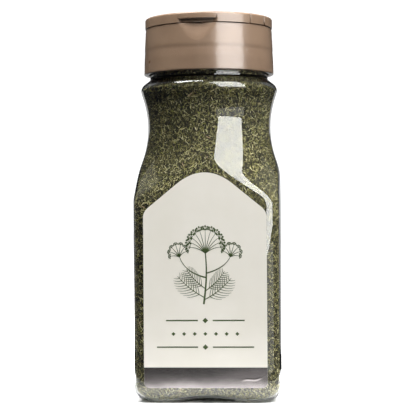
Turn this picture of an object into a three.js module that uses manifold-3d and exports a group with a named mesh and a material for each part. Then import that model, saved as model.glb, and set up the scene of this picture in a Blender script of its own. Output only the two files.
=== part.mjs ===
// A clear, square spice jar filled with dried dill weed, closed by a screw cap with two flaps.
// Millimetres, +Z up, the label towards -Y, the origin on the floor under the middle of the base.
import * as THREE from "three";
import { mergeVertices } from "three/addons/utils/BufferGeometryUtils.js";
import Module from "manifold-3d";

const DEGREE = Math.PI / 180;

// Jar body, a rounded square
const BODY_WIDTH = 64;
const BODY_CORNER = 6.8;
const HEEL_HEIGHT = 7.6;
const HEEL_INSET = 5.2;
const FOOT_WIDTH = 4.5;
const ARCH_HEIGHT = 1.6;
const ARCH_HALF_SPAN = 15.6;
const BASE_RISE = 4;
const WALL = 0.45;
const FLOOR = 0.8;

// Waist, flare and shoulder, all round: the radius grows with the square of the distance from the waist, and in the flare with its fourth power too
const WAIST_RADIUS = 27.8;
const WAIST_HEIGHT = 121;
const FLARE_CURVE = 0.0109;
const FLARE_RISE = 0.0000034;
const CHEST_CURVE = 0.0124;
const FLARE_START = 77;
const CHEST_END = 135.1;
const PANEL_EDGE_ROUNDING = 2;
const CORNER_EDGE_ROUNDING = 4;
const SHOULDER_ROUNDING = 3.5;
const SHOULDER_CENTRE = new THREE.Vector2(27.3, 137.45);
const SHOULDER_SLOPE = 52 * DEGREE;
const SHOULDER_INNER_ROUNDING = 3;
const SHOULDER_INNER_SLOPE = 54.5 * DEGREE;

// Neck and thread
const NECK_RADIUS = 26.6;
const NECK_FILLET = 1.5;
const NECK_BEAD_TOP = 145.6;
const FINISH_RADIUS = 25.4;
const MOUTH_RADIUS = 24.3;
const MOUTH_HEIGHT = 163.4;
const THREAD_PITCH = 4.23;
const THREAD_TURNS = 1.4;
const THREAD_START = 150.5;
const THREAD_DEPTH = 1;
const THREAD_WIDTH = 1.9;

// Dill weed
const FILL_GAP = 0.7;
const FILL_SHOULDER = 137.9;
const FILL_TOP = 156;

// Label
const LABEL_WIDTH = 53.4;
const LABEL_BOTTOM = 6.8;
const LABEL_SIDE_TOP = 83;
const LABEL_PEAK = 104.9;
const LABEL_PEAK_ROUNDING = 12.3;
const LABEL_CORNER = 2.6;
const LABEL_THICKNESS = 0.25;
const LABEL_GAP = 0.12;
const LABEL_X = -0.35;

// Cap
const CAP_TURN = -9.8 * DEGREE;
const SKIRT_BOTTOM = 144.8;
const SKIRT_KINK = 155.5;
const SKIRT_TOP = 165.2;
const SKIRT_BOTTOM_RADIUS = 29.28;
const SKIRT_KINK_RADIUS = 29.02;
const SKIRT_TOP_RADIUS = 28.5;
const SKIRT_INNER_RADIUS = 27.2;
const CAP_THREAD_DEPTH = 1.2;
const CAP_THREAD_WIDTH = 1.5;
const DECK_THICKNESS = 1.3;
const LID_RADIUS = 28.8;
const LID_TOP = 170;
const LID_SEAM = 0.25;
const LID_PLATE = 1.3;
const LID_RIM = 1.9;
const LID_EDGE_ROUNDING = 0.9;
const BRIDGE_FRONT = -17.3;
const BRIDGE_BACK = -8.9;
const BRIDGE_WALL = 1.2;
const HINGE_GAP = 0.4;
const SPOON_HOLE_RADIUS = 21.5;
const SPOON_HOLE_FRONT = -5;
const SHAKER_HOLE_RADIUS = 2.5;
const SHAKER_HOLE_SPACING = 7.6;
const SHAKER_ROW = -20.8;
const SEAL_WALL = 0.8;
const SEAL_CLEARANCE = 0.4;
const THUMB_HALF_ANGLE = 17.8 * DEGREE;
const THUMB_RECESS_DEPTH = 0.9;
const THUMB_RECESS_HEIGHT = 1.9;
const SCOOP_HEIGHT = 7.4;
const SCOOP_DEPTH = 1.2;
const SCOOP_ROUNDING = 600;
const SCOOP_TURN = 2.9;

// Shrink band
const BAND_TOP = 164.6;
const BAND_GAP = 0.1;
const BAND_THICKNESS = 0.25;
const BAND_LIP_RADIUS = 28;
const BAND_LIP_GAP = 0.15;

const ROUND_STEPS = 56;
const ARC_STEP = 13 * DEGREE;

const wasm = await Module();
wasm.setup();

// ---------------------------------------------------------------- solids

// Turns a closed geometry into a manifold-3d solid.
function toSolid(geometry) {
  const bare = geometry.clone();
  bare.deleteAttribute("normal");
  bare.deleteAttribute("uv");
  const merged = mergeVertices(bare, 1e-4);
  const mesh = new wasm.Mesh({
    numProp: 3,
    vertProperties: new Float32Array(merged.attributes.position.array),
    triVerts: new Uint32Array(merged.index.array),
  });
  return new wasm.Manifold(mesh);
}

// Turns a manifold-3d solid back into a geometry.
function toGeometry(solid) {
  const mesh = solid.getMesh();
  const geometry = new THREE.BufferGeometry();
  geometry.setAttribute("position", new THREE.BufferAttribute(mesh.vertProperties, 3));
  geometry.setIndex(new THREE.BufferAttribute(mesh.triVerts, 1));
  geometry.computeVertexNormals();
  return geometry;
}

// A named mesh with a finish of its own.
function part(name, geometry, finish) {
  const mesh = new THREE.Mesh(geometry, new THREE.MeshStandardMaterial(finish));
  mesh.name = name;
  return mesh;
}

// A closed skin over rings of points that run round the Z axis, with a pole at each end.
function skin(firstPole, rings, lastPole) {
  const count = rings[0].length;
  const points = [firstPole, ...rings.flat(), lastPole];
  const last = points.length - 1;
  const at = (ring, step) => 1 + ring * count + (step % count);
  const faces = [];
  for (let step = 0; step < count; step++) {
    faces.push(0, at(0, step + 1), at(0, step));
    for (let ring = 0; ring + 1 < rings.length; ring++) {
      faces.push(at(ring, step), at(ring, step + 1), at(ring + 1, step + 1));
      faces.push(at(ring, step), at(ring + 1, step + 1), at(ring + 1, step));
    }
    faces.push(last, at(rings.length - 1, step), at(rings.length - 1, step + 1));
  }
  const geometry = new THREE.BufferGeometry().setFromPoints(points);
  geometry.setIndex(faces);
  geometry.computeVertexNormals();
  return geometry;
}

// A lathe about Z from (radius, height) points.
function turned(points) {
  const profile = points.map(([radius, height]) => new THREE.Vector2(radius, height));
  return new THREE.LatheGeometry(profile, ROUND_STEPS).rotateX(90 * DEGREE);
}

// A box between two corners.
function block(low, high) {
  const size = high.map((value, axis) => value - low[axis]);
  const middle = high.map((value, axis) => (value + low[axis]) / 2);
  return toSolid(new THREE.BoxGeometry(...size).translate(...middle));
}

// Points on an arc of the (radius, height) plane.
function arc(centre, radius, from, to) {
  const steps = Math.max(2, Math.ceil(Math.abs(to - from) / ARC_STEP));
  return Array.from({ length: steps + 1 }, (_, step) => {
    const angle = from + ((to - from) * step) / steps;
    return [centre.x + radius * Math.cos(angle), centre.y + radius * Math.sin(angle)];
  });
}

// A screw ridge that runs out to nothing at both ends. depth is negative for one that points inwards.
function screwRidge(rootRadius, depth, width, start) {
  const steps = Math.round(THREAD_TURNS * 32);
  const runOut = 4;
  const sunk = -Math.sign(depth) * 0.4;
  const rings = [];
  for (let step = 0; step <= steps; step++) {
    const angle = (step / steps) * THREAD_TURNS * 2 * Math.PI;
    const height = start + (step / steps) * THREAD_TURNS * THREAD_PITCH;
    const grown = Math.min(1, (step + 0.3) / runOut, (steps - step + 0.3) / runOut);
    const crest = rootRadius + depth * grown;
    const section = [
      [rootRadius + sunk, -width / 2],
      [crest, -width / 5],
      [crest, width / 5],
      [rootRadius + sunk, width / 2],
    ];
    rings.push(
      section.map(
        ([radius, rise]) =>
          new THREE.Vector3(radius * Math.cos(angle), radius * Math.sin(angle), height + rise),
      ),
    );
  }
  const count = rings[0].length;
  const faces = [];
  for (let step = 0; step < steps; step++)
    for (let side = 0; side < count; side++) {
      const [a, b] = [step * count + side, step * count + ((side + 1) % count)];
      faces.push(a, b, b + count, a, b + count, a + count);
    }
  const end = steps * count;
  faces.push(0, 2, 1, 0, 3, 2, end, end + 1, end + 2, end, end + 2, end + 3);
  if (depth > 0) faces.reverse();
  const geometry = new THREE.BufferGeometry().setFromPoints(rings.flat());
  geometry.setIndex(faces);
  return toSolid(geometry);
}

// ---------------------------------------------------------------- the jar's form

// The directions in which every ring of the jar and its fill has a point: close together at the corners.
const QUARTER = [0, 9, 18, 27, 34, 39.8, 42.4, 45, 47.6, 50.2, 56, 63, 72, 81];
const DIRECTIONS = [0, 90, 180, 270].flatMap((turn) => QUARTER.map((angle) => (turn + angle) * DEGREE));

// The angle from the nearest side's middle, 0 to 45 degrees.
function offSide(direction) {
  const folded = direction % (90 * DEGREE);
  return Math.min(folded, 90 * DEGREE - folded);
}

// How far out a rounded square's outline lies in a direction.
function squareReach(direction, half, corner) {
  const angle = offSide(direction);
  const flat = half - corner;
  if (half * Math.tan(angle) <= flat) return half / Math.cos(angle);
  const along = flat * (Math.cos(angle) + Math.sin(angle));
  return along + Math.sqrt(along * along - 2 * flat * flat + corner * corner);
}

// The smaller of two numbers, with the corner between them rounded.
function smoothLeast(a, b, rounding) {
  const near = Math.max(rounding - Math.abs(a - b), 0) / rounding;
  return Math.min(a, b) - (near * near * rounding) / 4;
}

// The radius of the round form at a height between the flare and the shoulder.
function roundRadius(height) {
  const away = height - WAIST_HEIGHT;
  if (away > 0) return WAIST_RADIUS + CHEST_CURVE * away * away;
  return WAIST_RADIUS + FLARE_CURVE * away * away + FLARE_RISE * away ** 4;
}

// How widely the edge between a side and the flare is rounded: most at the corners.
function edgeRounding(direction) {
  const share = offSide(direction) / (45 * DEGREE);
  return PANEL_EDGE_ROUNDING + (CORNER_EDGE_ROUNDING - PANEL_EDGE_ROUNDING) * share ** 4;
}

// How far the heel has drawn in at a height above the foot.
function heelInset(height, foot) {
  const left = Math.min(1, Math.max(0, 1 - (height - foot) / (HEEL_HEIGHT - foot)));
  return HEEL_INSET * (1 - Math.sqrt(1 - left * left));
}

// How far the underside is lifted at a point: an arch in the middle of each side.
function archLift(direction, reach) {
  const along = (reach * Math.sin(offSide(direction))) / ARCH_HALF_SPAN;
  return along < 1 ? ARCH_HEIGHT * (1 - along * along) : 0;
}

// One ring of the body, inset from the outside. The heel's rings carry the arches of the underside.
function bodyRing(height, inset, foot) {
  const half = BODY_WIDTH / 2 - inset - heelInset(height, foot);
  const round = roundRadius(height) - inset;
  const rise = Math.max(0, 1 - (height - foot) / (HEEL_HEIGHT - foot));
  return DIRECTIONS.map((direction) => {
    const square = squareReach(direction, half, BODY_CORNER - inset);
    const reach = height < FLARE_START ? square : smoothLeast(square, round, edgeRounding(direction));
    const lift = rise * archLift(direction, reach);
    return new THREE.Vector3(
      reach * Math.cos(direction),
      reach * Math.sin(direction),
      height + lift,
    );
  });
}

// A ring of the underside, inside the foot: share 1 is the foot's inner edge and 0 the middle.
function baseRing(share, foot) {
  const half = BODY_WIDTH / 2 - HEEL_INSET - FOOT_WIDTH;
  return DIRECTIONS.map((direction) => {
    const edge = squareReach(direction, half, BODY_CORNER);
    const lift = share * share * archLift(direction, edge) + BASE_RISE * (1 - share * share);
    const reach = edge * share;
    return new THREE.Vector3(reach * Math.cos(direction), reach * Math.sin(direction), foot + lift);
  });
}

// A round ring from a (radius, height) point.
function roundRing([radius, height]) {
  return DIRECTIONS.map(
    (direction) =>
      new THREE.Vector3(radius * Math.cos(direction), radius * Math.sin(direction), height),
  );
}

// The rings from the middle of the base, out over the heel and up to the chest's end.
function lowerRings(inset, foot) {
  const heel = [0, 0.05, 0.2, 0.45, 1].map((share) => foot + share * (HEEL_HEIGHT - foot));
  const flare = [FLARE_START, 81, 84, 86.5, 89, 91.5, 94, 97, 100, 103, 106.5, 111, 116, 121, 126, 131, CHEST_END];
  return [
    ...[0.5, 1].map((share) => baseRing(share, foot)),
    ...[...heel, ...flare].map((height) => bodyRing(height, inset, foot)),
  ];
}

// The (radius, height) points of the shoulder's outside or inside, from the ridge up to the start of the neck.
function shoulderProfile(ridgeCentre, ridgeRounding, slope, neckRadius, fillet) {
  const ridge = arc(ridgeCentre, ridgeRounding, -20 * DEGREE, slope);
  const [fromRadius, fromHeight] = ridge.at(-1);
  const startRadius = neckRadius + fillet * (1 - Math.cos(slope));
  const rise = (fromRadius - startRadius) / Math.tan(slope);
  const centre = new THREE.Vector2(neckRadius + fillet, fromHeight + rise + fillet * Math.sin(slope));
  return [...ridge, ...arc(centre, fillet, Math.PI + slope, Math.PI)];
}

// ---------------------------------------------------------------- the jar and what is in it

function jarBody() {
  const outside = [
    ...shoulderProfile(SHOULDER_CENTRE, SHOULDER_ROUNDING, SHOULDER_SLOPE, NECK_RADIUS, NECK_FILLET),
    [NECK_RADIUS, NECK_BEAD_TOP],
    [FINISH_RADIUS, NECK_BEAD_TOP + 0.8],
    [FINISH_RADIUS, MOUTH_HEIGHT - 0.4],
    [FINISH_RADIUS - 0.3, MOUTH_HEIGHT],
  ];
  const innerCentre = new THREE.Vector2(
    SHOULDER_CENTRE.x + SHOULDER_ROUNDING - WALL - SHOULDER_INNER_ROUNDING,
    SHOULDER_CENTRE.y,
  );
  const innerShoulder = shoulderProfile(innerCentre, SHOULDER_INNER_ROUNDING, SHOULDER_INNER_SLOPE, MOUTH_RADIUS, 1);
  const inside = [[MOUTH_RADIUS, MOUTH_HEIGHT], ...innerShoulder.reverse()];
  const rings = [
    ...lowerRings(0, 0),
    ...outside.map(roundRing),
    ...inside.map(roundRing),
    ...lowerRings(WALL, FLOOR).reverse(),
  ];
  const shell = skin(new THREE.Vector3(0, 0, BASE_RISE), rings, new THREE.Vector3(0, 0, BASE_RISE + FLOOR));
  const ridge = screwRidge(FINISH_RADIUS, THREAD_DEPTH, THREAD_WIDTH, THREAD_START);
  return toGeometry(toSolid(shell).add(ridge));
}

function dillWeed() {
  const inset = WALL + FILL_GAP;
  const foot = FLOOR + FILL_GAP;
  const neckReach = MOUTH_RADIUS - FILL_GAP;
  const top = [
    [SHOULDER_CENTRE.x + SHOULDER_ROUNDING - inset, SHOULDER_CENTRE.y - 0.6],
    [SHOULDER_CENTRE.x + SHOULDER_ROUNDING - inset - 0.2, FILL_SHOULDER],
    [NECK_RADIUS - 0.6, FILL_SHOULDER + 1.2],
    [neckReach, FILL_SHOULDER + 4.4],
    [neckReach, FILL_TOP - 0.6],
    [neckReach - 2, FILL_TOP],
  ];
  const rings = [...lowerRings(inset, foot), ...top.map(roundRing)];
  return skin(new THREE.Vector3(0, 0, BASE_RISE + foot), rings, new THREE.Vector3(0, 0, FILL_TOP + 1));
}

function frontLabel() {
  const half = LABEL_WIDTH / 2;
  const slope = (LABEL_PEAK - LABEL_SIDE_TOP) / half;
  const turn = 2.4;
  const peakSide = LABEL_PEAK - slope * LABEL_PEAK_ROUNDING;
  const outline = new THREE.Shape();
  outline.moveTo(-half + LABEL_CORNER, LABEL_BOTTOM);
  outline.lineTo(half - LABEL_CORNER, LABEL_BOTTOM);
  outline.quadraticCurveTo(half, LABEL_BOTTOM, half, LABEL_BOTTOM + LABEL_CORNER);
  outline.lineTo(half, LABEL_SIDE_TOP - turn);
  outline.quadraticCurveTo(half, LABEL_SIDE_TOP, half - turn, LABEL_SIDE_TOP + slope * turn);
  outline.lineTo(LABEL_PEAK_ROUNDING, peakSide);
  outline.quadraticCurveTo(0, LABEL_PEAK, -LABEL_PEAK_ROUNDING, peakSide);
  outline.lineTo(-half + turn, LABEL_SIDE_TOP + slope * turn);
  outline.quadraticCurveTo(-half, LABEL_SIDE_TOP, -half, LABEL_SIDE_TOP - turn);
  outline.lineTo(-half, LABEL_BOTTOM + LABEL_CORNER);
  outline.quadraticCurveTo(-half, LABEL_BOTTOM, -half + LABEL_CORNER, LABEL_BOTTOM);
  const sheet = new THREE.ExtrudeGeometry(outline, {
    depth: LABEL_THICKNESS,
    bevelEnabled: false,
    curveSegments: 8,
  });
  return sheet.rotateX(90 * DEGREE).translate(LABEL_X, -BODY_WIDTH / 2 - LABEL_GAP, 0);
}

// ---------------------------------------------------------------- the cap, in a frame that turns with it

// The outline of the lid's rim up to its rounded top edge.
function lidEdge(bottom) {
  const centre = new THREE.Vector2(LID_RADIUS - LID_EDGE_ROUNDING, LID_TOP - LID_EDGE_ROUNDING);
  return [[LID_RADIUS, bottom], ...arc(centre, LID_EDGE_ROUNDING, 0, 90 * DEGREE)];
}

// A cone with its tip on the skirt, widening upwards and outwards, that cuts the thumb scoop.
function scoopCutter() {
  const radius = SCOOP_ROUNDING;
  const reach = 1.2;
  const steps = 720;
  const tip = new THREE.Vector3(0, -SKIRT_KINK_RADIUS, SKIRT_TOP - SCOOP_HEIGHT);
  const rim = Array.from({ length: steps }, (_, step) => {
    const angle = (step / steps) * 2 * Math.PI;
    return new THREE.Vector3(
      radius * reach * Math.cos(angle),
      -SKIRT_TOP_RADIUS - (radius - SCOOP_DEPTH) * reach + radius * reach * Math.sin(angle),
      SKIRT_TOP + SCOOP_HEIGHT * (reach - 1),
    );
  });
  const top = new THREE.Vector3(0, rim[0].y, rim[0].z);
  return toSolid(skin(tip, [rim], top));
}

// A D-shaped prism: a disc cut off along a line at y = front.
function dPrism(radius, front, bottom, top) {
  const disc = toSolid(turned([[0, bottom], [radius, bottom], [radius, top], [0, top]]));
  return disc.intersect(block([-radius, front, bottom], [radius, radius, top]));
}

function capBase() {
  const deckUnder = SKIRT_TOP - DECK_THICKNESS;
  const cup = toSolid(
    turned([
      [0, deckUnder],
      [SKIRT_INNER_RADIUS, deckUnder],
      [SKIRT_INNER_RADIUS, SKIRT_BOTTOM],
      [SKIRT_BOTTOM_RADIUS - 0.3, SKIRT_BOTTOM],
      [SKIRT_BOTTOM_RADIUS, SKIRT_BOTTOM + 0.3],
      [SKIRT_KINK_RADIUS, SKIRT_KINK],
      [SKIRT_TOP_RADIUS, SKIRT_TOP],
      [0, SKIRT_TOP],
    ]),
  );
  const bridgeDisc = toSolid(
    turned([
      [0, SKIRT_TOP - 0.5],
      [SKIRT_TOP_RADIUS - 0.5, SKIRT_TOP - 0.5],
      [SKIRT_TOP_RADIUS - 0.5, SKIRT_TOP + LID_SEAM],
      ...lidEdge(SKIRT_TOP + LID_SEAM),
      [0, LID_TOP],
    ]),
  );
  const front = BRIDGE_FRONT + HINGE_GAP / 2;
  const back = BRIDGE_BACK - HINGE_GAP / 2;
  const strip = block([-LID_RADIUS, front, SKIRT_TOP - 1], [LID_RADIUS, back, LID_TOP + 1]);
  const hollow = block(
    [-MOUTH_RADIUS + 6, front + BRIDGE_WALL, deckUnder - 1],
    [MOUTH_RADIUS - 6, back - BRIDGE_WALL, LID_TOP - LID_PLATE],
  );
  const spoonHole = dPrism(SPOON_HOLE_RADIUS, SPOON_HOLE_FRONT, deckUnder - 1, SKIRT_TOP + 1);
  const shakerHoles = [-1, 0, 1].map((place) => {
    const hole = new THREE.CylinderGeometry(SHAKER_HOLE_RADIUS, SHAKER_HOLE_RADIUS, 6, 16);
    return toSolid(
      hole.rotateX(90 * DEGREE).translate(place * SHAKER_HOLE_SPACING, SHAKER_ROW, SKIRT_TOP),
    );
  });
  const threadStart = THREAD_START - THREAD_PITCH / 2;
  const ridge = screwRidge(SKIRT_INNER_RADIUS, -CAP_THREAD_DEPTH, CAP_THREAD_WIDTH, threadStart);
  const whole = cup.add(bridgeDisc.intersect(strip)).add(ridge.rotate([0, 0, -CAP_TURN / DEGREE]));
  const scoop = scoopCutter().rotate([0, 0, SCOOP_TURN]);
  const cuts = [hollow, spoonHole, scoop, ...shakerHoles];
  return toGeometry(cuts.reduce((left, cut) => left.subtract(cut), whole));
}

// The whole lid before it is cut into flaps: a plate with a rim round its edge.
function lid() {
  const bottom = SKIRT_TOP + LID_SEAM;
  return toSolid(
    turned([
      [0, LID_TOP - LID_PLATE],
      [LID_RADIUS - LID_RIM, LID_TOP - LID_PLATE],
      [LID_RADIUS - LID_RIM, bottom],
      ...lidEdge(bottom),
      [0, LID_TOP],
    ]),
  );
}

// The recess under the lid's edge that a thumb lifts it by. side is -1 at the front and 1 at the back.
function thumbRecess(side) {
  const bottom = SKIRT_TOP + LID_SEAM - 0.5;
  const top = SKIRT_TOP + LID_SEAM + THUMB_RECESS_HEIGHT;
  const ring = toSolid(
    turned([
      [LID_RADIUS - THUMB_RECESS_DEPTH, bottom],
      [LID_RADIUS + 2, bottom],
      [LID_RADIUS + 2, top],
      [LID_RADIUS - THUMB_RECESS_DEPTH, top],
      [LID_RADIUS - THUMB_RECESS_DEPTH, bottom],
    ]),
  );
  const half = LID_RADIUS * Math.sin(THUMB_HALF_ANGLE);
  const near = Math.min(side * 20, side * 40);
  return ring.intersect(block([-half, near, bottom - 1], [half, near + 20, top + 1]));
}

function shakerFlap() {
  const edge = BRIDGE_FRONT - HINGE_GAP / 2;
  const keep = block([-40, -40, SKIRT_TOP], [40, edge, LID_TOP + 1]);
  const plate = lid().intersect(keep).subtract(thumbRecess(-1).rotate([0, 0, SCOOP_TURN]));
  const reach = SHAKER_HOLE_SPACING + SHAKER_HOLE_RADIUS;
  const pad = block(
    [-reach, SHAKER_ROW - SHAKER_HOLE_RADIUS, SKIRT_TOP + 0.4],
    [reach, SHAKER_ROW + SHAKER_HOLE_RADIUS - 0.4, LID_TOP - LID_PLATE + 0.5],
  );
  return toGeometry(plate.add(pad));
}

function spoonFlap() {
  const edge = BRIDGE_BACK + HINGE_GAP / 2;
  const keep = block([-40, edge, SKIRT_TOP], [40, 40, LID_TOP + 1]);
  const plate = lid().intersect(keep).subtract(thumbRecess(1));
  const outer = SPOON_HOLE_RADIUS - SEAL_CLEARANCE;
  const front = SPOON_HOLE_FRONT + SEAL_CLEARANCE;
  const bottom = SKIRT_TOP - 0.8;
  const top = LID_TOP - LID_PLATE + 0.5;
  const seal = dPrism(outer, front, bottom, top).subtract(
    dPrism(outer - SEAL_WALL, front + SEAL_WALL, bottom - 1, top + 1),
  );
  return toGeometry(plate.add(seal));
}

function shrinkBand() {
  const slope = (SKIRT_KINK_RADIUS - SKIRT_TOP_RADIUS) / (SKIRT_TOP - SKIRT_KINK);
  const topRadius = SKIRT_TOP_RADIUS + slope * (SKIRT_TOP - BAND_TOP);
  const bottom = SKIRT_BOTTOM - BAND_LIP_GAP;
  const inner = [
    [BAND_LIP_RADIUS, bottom],
    [SKIRT_BOTTOM_RADIUS + BAND_GAP - 0.3, bottom],
    [SKIRT_BOTTOM_RADIUS + BAND_GAP, bottom + 0.3],
    [SKIRT_KINK_RADIUS + BAND_GAP, SKIRT_KINK],
    [topRadius + BAND_GAP, BAND_TOP],
  ];
  const outer = [
    [topRadius + BAND_GAP + BAND_THICKNESS, BAND_TOP],
    [SKIRT_KINK_RADIUS + BAND_GAP + BAND_THICKNESS, SKIRT_KINK],
    [SKIRT_BOTTOM_RADIUS + BAND_GAP + BAND_THICKNESS, bottom + 0.2],
    [SKIRT_BOTTOM_RADIUS + BAND_GAP - 0.2, bottom - BAND_THICKNESS],
    [BAND_LIP_RADIUS, bottom - BAND_THICKNESS],
  ];
  const loop = [...inner, ...outer, inner[0]].reverse();
  return turned(loop);
}

// ---------------------------------------------------------------- the part

const PET = { color: "#dfe3e0", roughness: 0.05, transparent: true, opacity: 0.3 };
const FILM = { color: "#f4f4f4", roughness: 0.1, transparent: true, opacity: 0.2 };
const BRONZE = { color: "#a58b76", roughness: 0.35, metalness: 0.6 };
const HERB = { color: "#4d5432", roughness: 0.9 };
const PAPER = { color: "#efebe2", roughness: 0.7 };

const cap = new THREE.Group();
cap.rotation.z = CAP_TURN;
cap.add(
  part("cap_base", capBase(), BRONZE),
  part("shaker_flap", shakerFlap(), BRONZE),
  part("spoon_flap", spoonFlap(), BRONZE),
  part("shrink_band", shrinkBand(), FILM),
);

const spiceJar = new THREE.Group();
spiceJar.add(
  part("jar_body", jarBody(), PET),
  part("dill_weed", dillWeed(), HERB),
  part("front_label", frontLabel(), PAPER),
  cap,
);

export default spiceJar;
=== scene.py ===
"""A clear spice jar filled with dried dill weed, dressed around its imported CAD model.

Every size in a class is in millimetres and becomes metres when a mesh is made. The label faces -Y.
"""

import logging
import math
from dataclasses import dataclass
from enum import Enum

import bpy
import numpy as np
from mathutils import Matrix, Vector


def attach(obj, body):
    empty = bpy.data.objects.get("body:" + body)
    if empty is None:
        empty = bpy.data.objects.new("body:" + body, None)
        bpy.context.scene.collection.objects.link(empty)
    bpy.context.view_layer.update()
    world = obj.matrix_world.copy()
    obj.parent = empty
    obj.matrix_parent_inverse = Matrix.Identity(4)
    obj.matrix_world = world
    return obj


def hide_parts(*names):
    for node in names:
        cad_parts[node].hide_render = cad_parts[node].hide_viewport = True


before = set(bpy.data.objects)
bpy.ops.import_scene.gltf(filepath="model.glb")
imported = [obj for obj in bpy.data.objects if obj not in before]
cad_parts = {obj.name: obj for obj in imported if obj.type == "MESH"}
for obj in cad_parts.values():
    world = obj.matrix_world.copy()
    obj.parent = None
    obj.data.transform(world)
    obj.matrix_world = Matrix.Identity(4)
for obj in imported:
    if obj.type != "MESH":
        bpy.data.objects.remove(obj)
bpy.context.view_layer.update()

logging.basicConfig(level=logging.INFO, format="%(message)s")
log = logging.getLogger("spice_jar")

MM = 0.001
JAR = "jar"
BAKE_MAP = "OFBake"
WHITE = (1, 1, 1, 1)

Shell = tuple[np.ndarray, list]


# ---------------------------------------------------------------- node helpers


def linear(code: str) -> tuple[float, float, float, float]:
    """Turns an sRGB hex colour into linear light.

    Args:
        code: Six hex digits after a #.

    Returns:
        Red, green, blue and an alpha of 1.
    """
    parts = [int(code[i : i + 2], 16) / 255 for i in (1, 3, 5)]
    light = [c / 12.92 if c <= 0.04045 else ((c + 0.055) / 1.055) ** 2.4 for c in parts]
    return (*light, 1.0)


class Graph:
    """A node tree that is built node by node."""

    def __init__(self, tree: bpy.types.NodeTree) -> None:
        """Empties a tree and takes it over."""
        self.tree = tree
        tree.nodes.clear()

    def node(
        self,
        kind: str,
        inputs: dict | None = None,
        stops: dict[float, str] | None = None,
        **settings,
    ) -> bpy.types.Node:
        """Adds one node with its settings and links.

        Args:
            kind: The node's type name.
            inputs: Socket name or index to a plain value, to the output that feeds it, or to
                the node whose first output does.
            stops: A colour ramp's places and their sRGB hex colours.
            **settings: The node's own properties.

        Returns:
            The new node.
        """
        node = self.tree.nodes.new(kind)
        for name, value in settings.items():
            setattr(node, name, value)
        for socket, value in (inputs or {}).items():
            if isinstance(value, bpy.types.Node):
                value = value.outputs[0]
            if isinstance(value, bpy.types.NodeSocket):
                self.tree.links.new(value, node.inputs[socket])
            else:
                node.inputs[socket].default_value = value
        places = sorted(stops or ())
        for place in places[2:]:
            node.color_ramp.elements.new(place)
        for number, place in enumerate(places):
            element = node.color_ramp.elements[number]
            element.position = place
            element.color = linear(stops[place])
        return node


class Finish(Graph):
    """The node tree of a new material."""

    def __init__(self, name: str) -> None:
        """Makes a material with an empty tree.

        Args:
            name: The material's name.
        """
        self.material = bpy.data.materials.new(name)
        self.material.use_nodes = True
        super().__init__(self.material.node_tree)

    def wearing(self, surface: bpy.types.Node) -> bpy.types.Material:
        """Ends the tree with a surface and returns the material."""
        self.node("ShaderNodeOutputMaterial", {"Surface": surface})
        return self.material


# ---------------------------------------------------------------- mesh helpers


def mesh_piece(
    name: str, points: np.ndarray, faces: list, material: bpy.types.Material, sharp: float = 40.0
) -> bpy.types.Object:
    """Makes an object from points in millimetres, smooth apart from its sharp edges.

    Args:
        name: The piece's name.
        points: An N by 3 array in millimetres.
        faces: Lists of point numbers, facing outwards.
        material: What the piece wears.
        sharp: The angle in degrees past which an edge stays sharp.

    Returns:
        The new object, linked to the scene.
    """
    mesh = bpy.data.meshes.new(name)
    mesh.from_pydata((np.asarray(points, dtype=float) * MM).tolist(), [], faces)
    mesh.validate()
    mesh.shade_smooth()
    mesh.set_sharp_from_angle(angle=math.radians(sharp))
    mesh.materials.append(material)
    return linked(name, mesh)


def linked(name: str, mesh: bpy.types.Mesh) -> bpy.types.Object:
    """Makes an object that shows a mesh.

    Args:
        name: The object's name.
        mesh: The mesh.

    Returns:
        The object, linked to the scene.
    """
    piece = bpy.data.objects.new(name, mesh)
    bpy.context.collection.objects.link(piece)
    return piece


def modified_mesh(piece: bpy.types.Object) -> bpy.types.Mesh:
    """A new mesh of a piece with its modifiers applied."""
    graph = bpy.context.evaluated_depsgraph_get()
    return bpy.data.meshes.new_from_object(piece.evaluated_get(graph), depsgraph=graph)


def grid_faces(
    rows: int, columns: int, first: int = 0, closed: bool = True
) -> list[tuple[int, ...]]:
    """Quads over a grid of points that runs row by row.

    Args:
        rows: How many rows.
        columns: How many points in a row.
        first: The number of the grid's first point.
        closed: True if each row joins up with its own start.

    Returns:
        The faces, which face outwards where rows rise and columns run anticlockwise.
    """
    faces = []
    for row in range(rows - 1):
        for column in range(columns if closed else columns - 1):
            after = (column + 1) % columns
            a, b = first + row * columns + column, first + row * columns + after
            faces.append((a, b, b + columns, a + columns))
    return faces


def skin(rings: np.ndarray, first_pole: tuple | None, last_pole: tuple | None) -> Shell:
    """A closed skin over rings of points.

    Args:
        rings: A rings by steps by 3 array.
        first_pole: The point that closes the first ring, or None where the last ring joins it.
        last_pole: The point that closes the last ring.

    Returns:
        The points and the faces.
    """
    count, steps = rings.shape[:2]
    points = rings.reshape(-1, 3)
    faces = grid_faces(count, steps)
    end = (count - 1) * steps
    turns = [(step, (step + 1) % steps) for step in range(steps)]
    if first_pole is None:
        return points, faces + [(end + a, end + b, b, a) for a, b in turns]
    start, stop = len(points), len(points) + 1
    faces += [(start, b, a) for a, b in turns] + [(stop, end + a, end + b) for a, b in turns]
    return np.vstack([points, first_pole, last_pole]), faces


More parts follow.
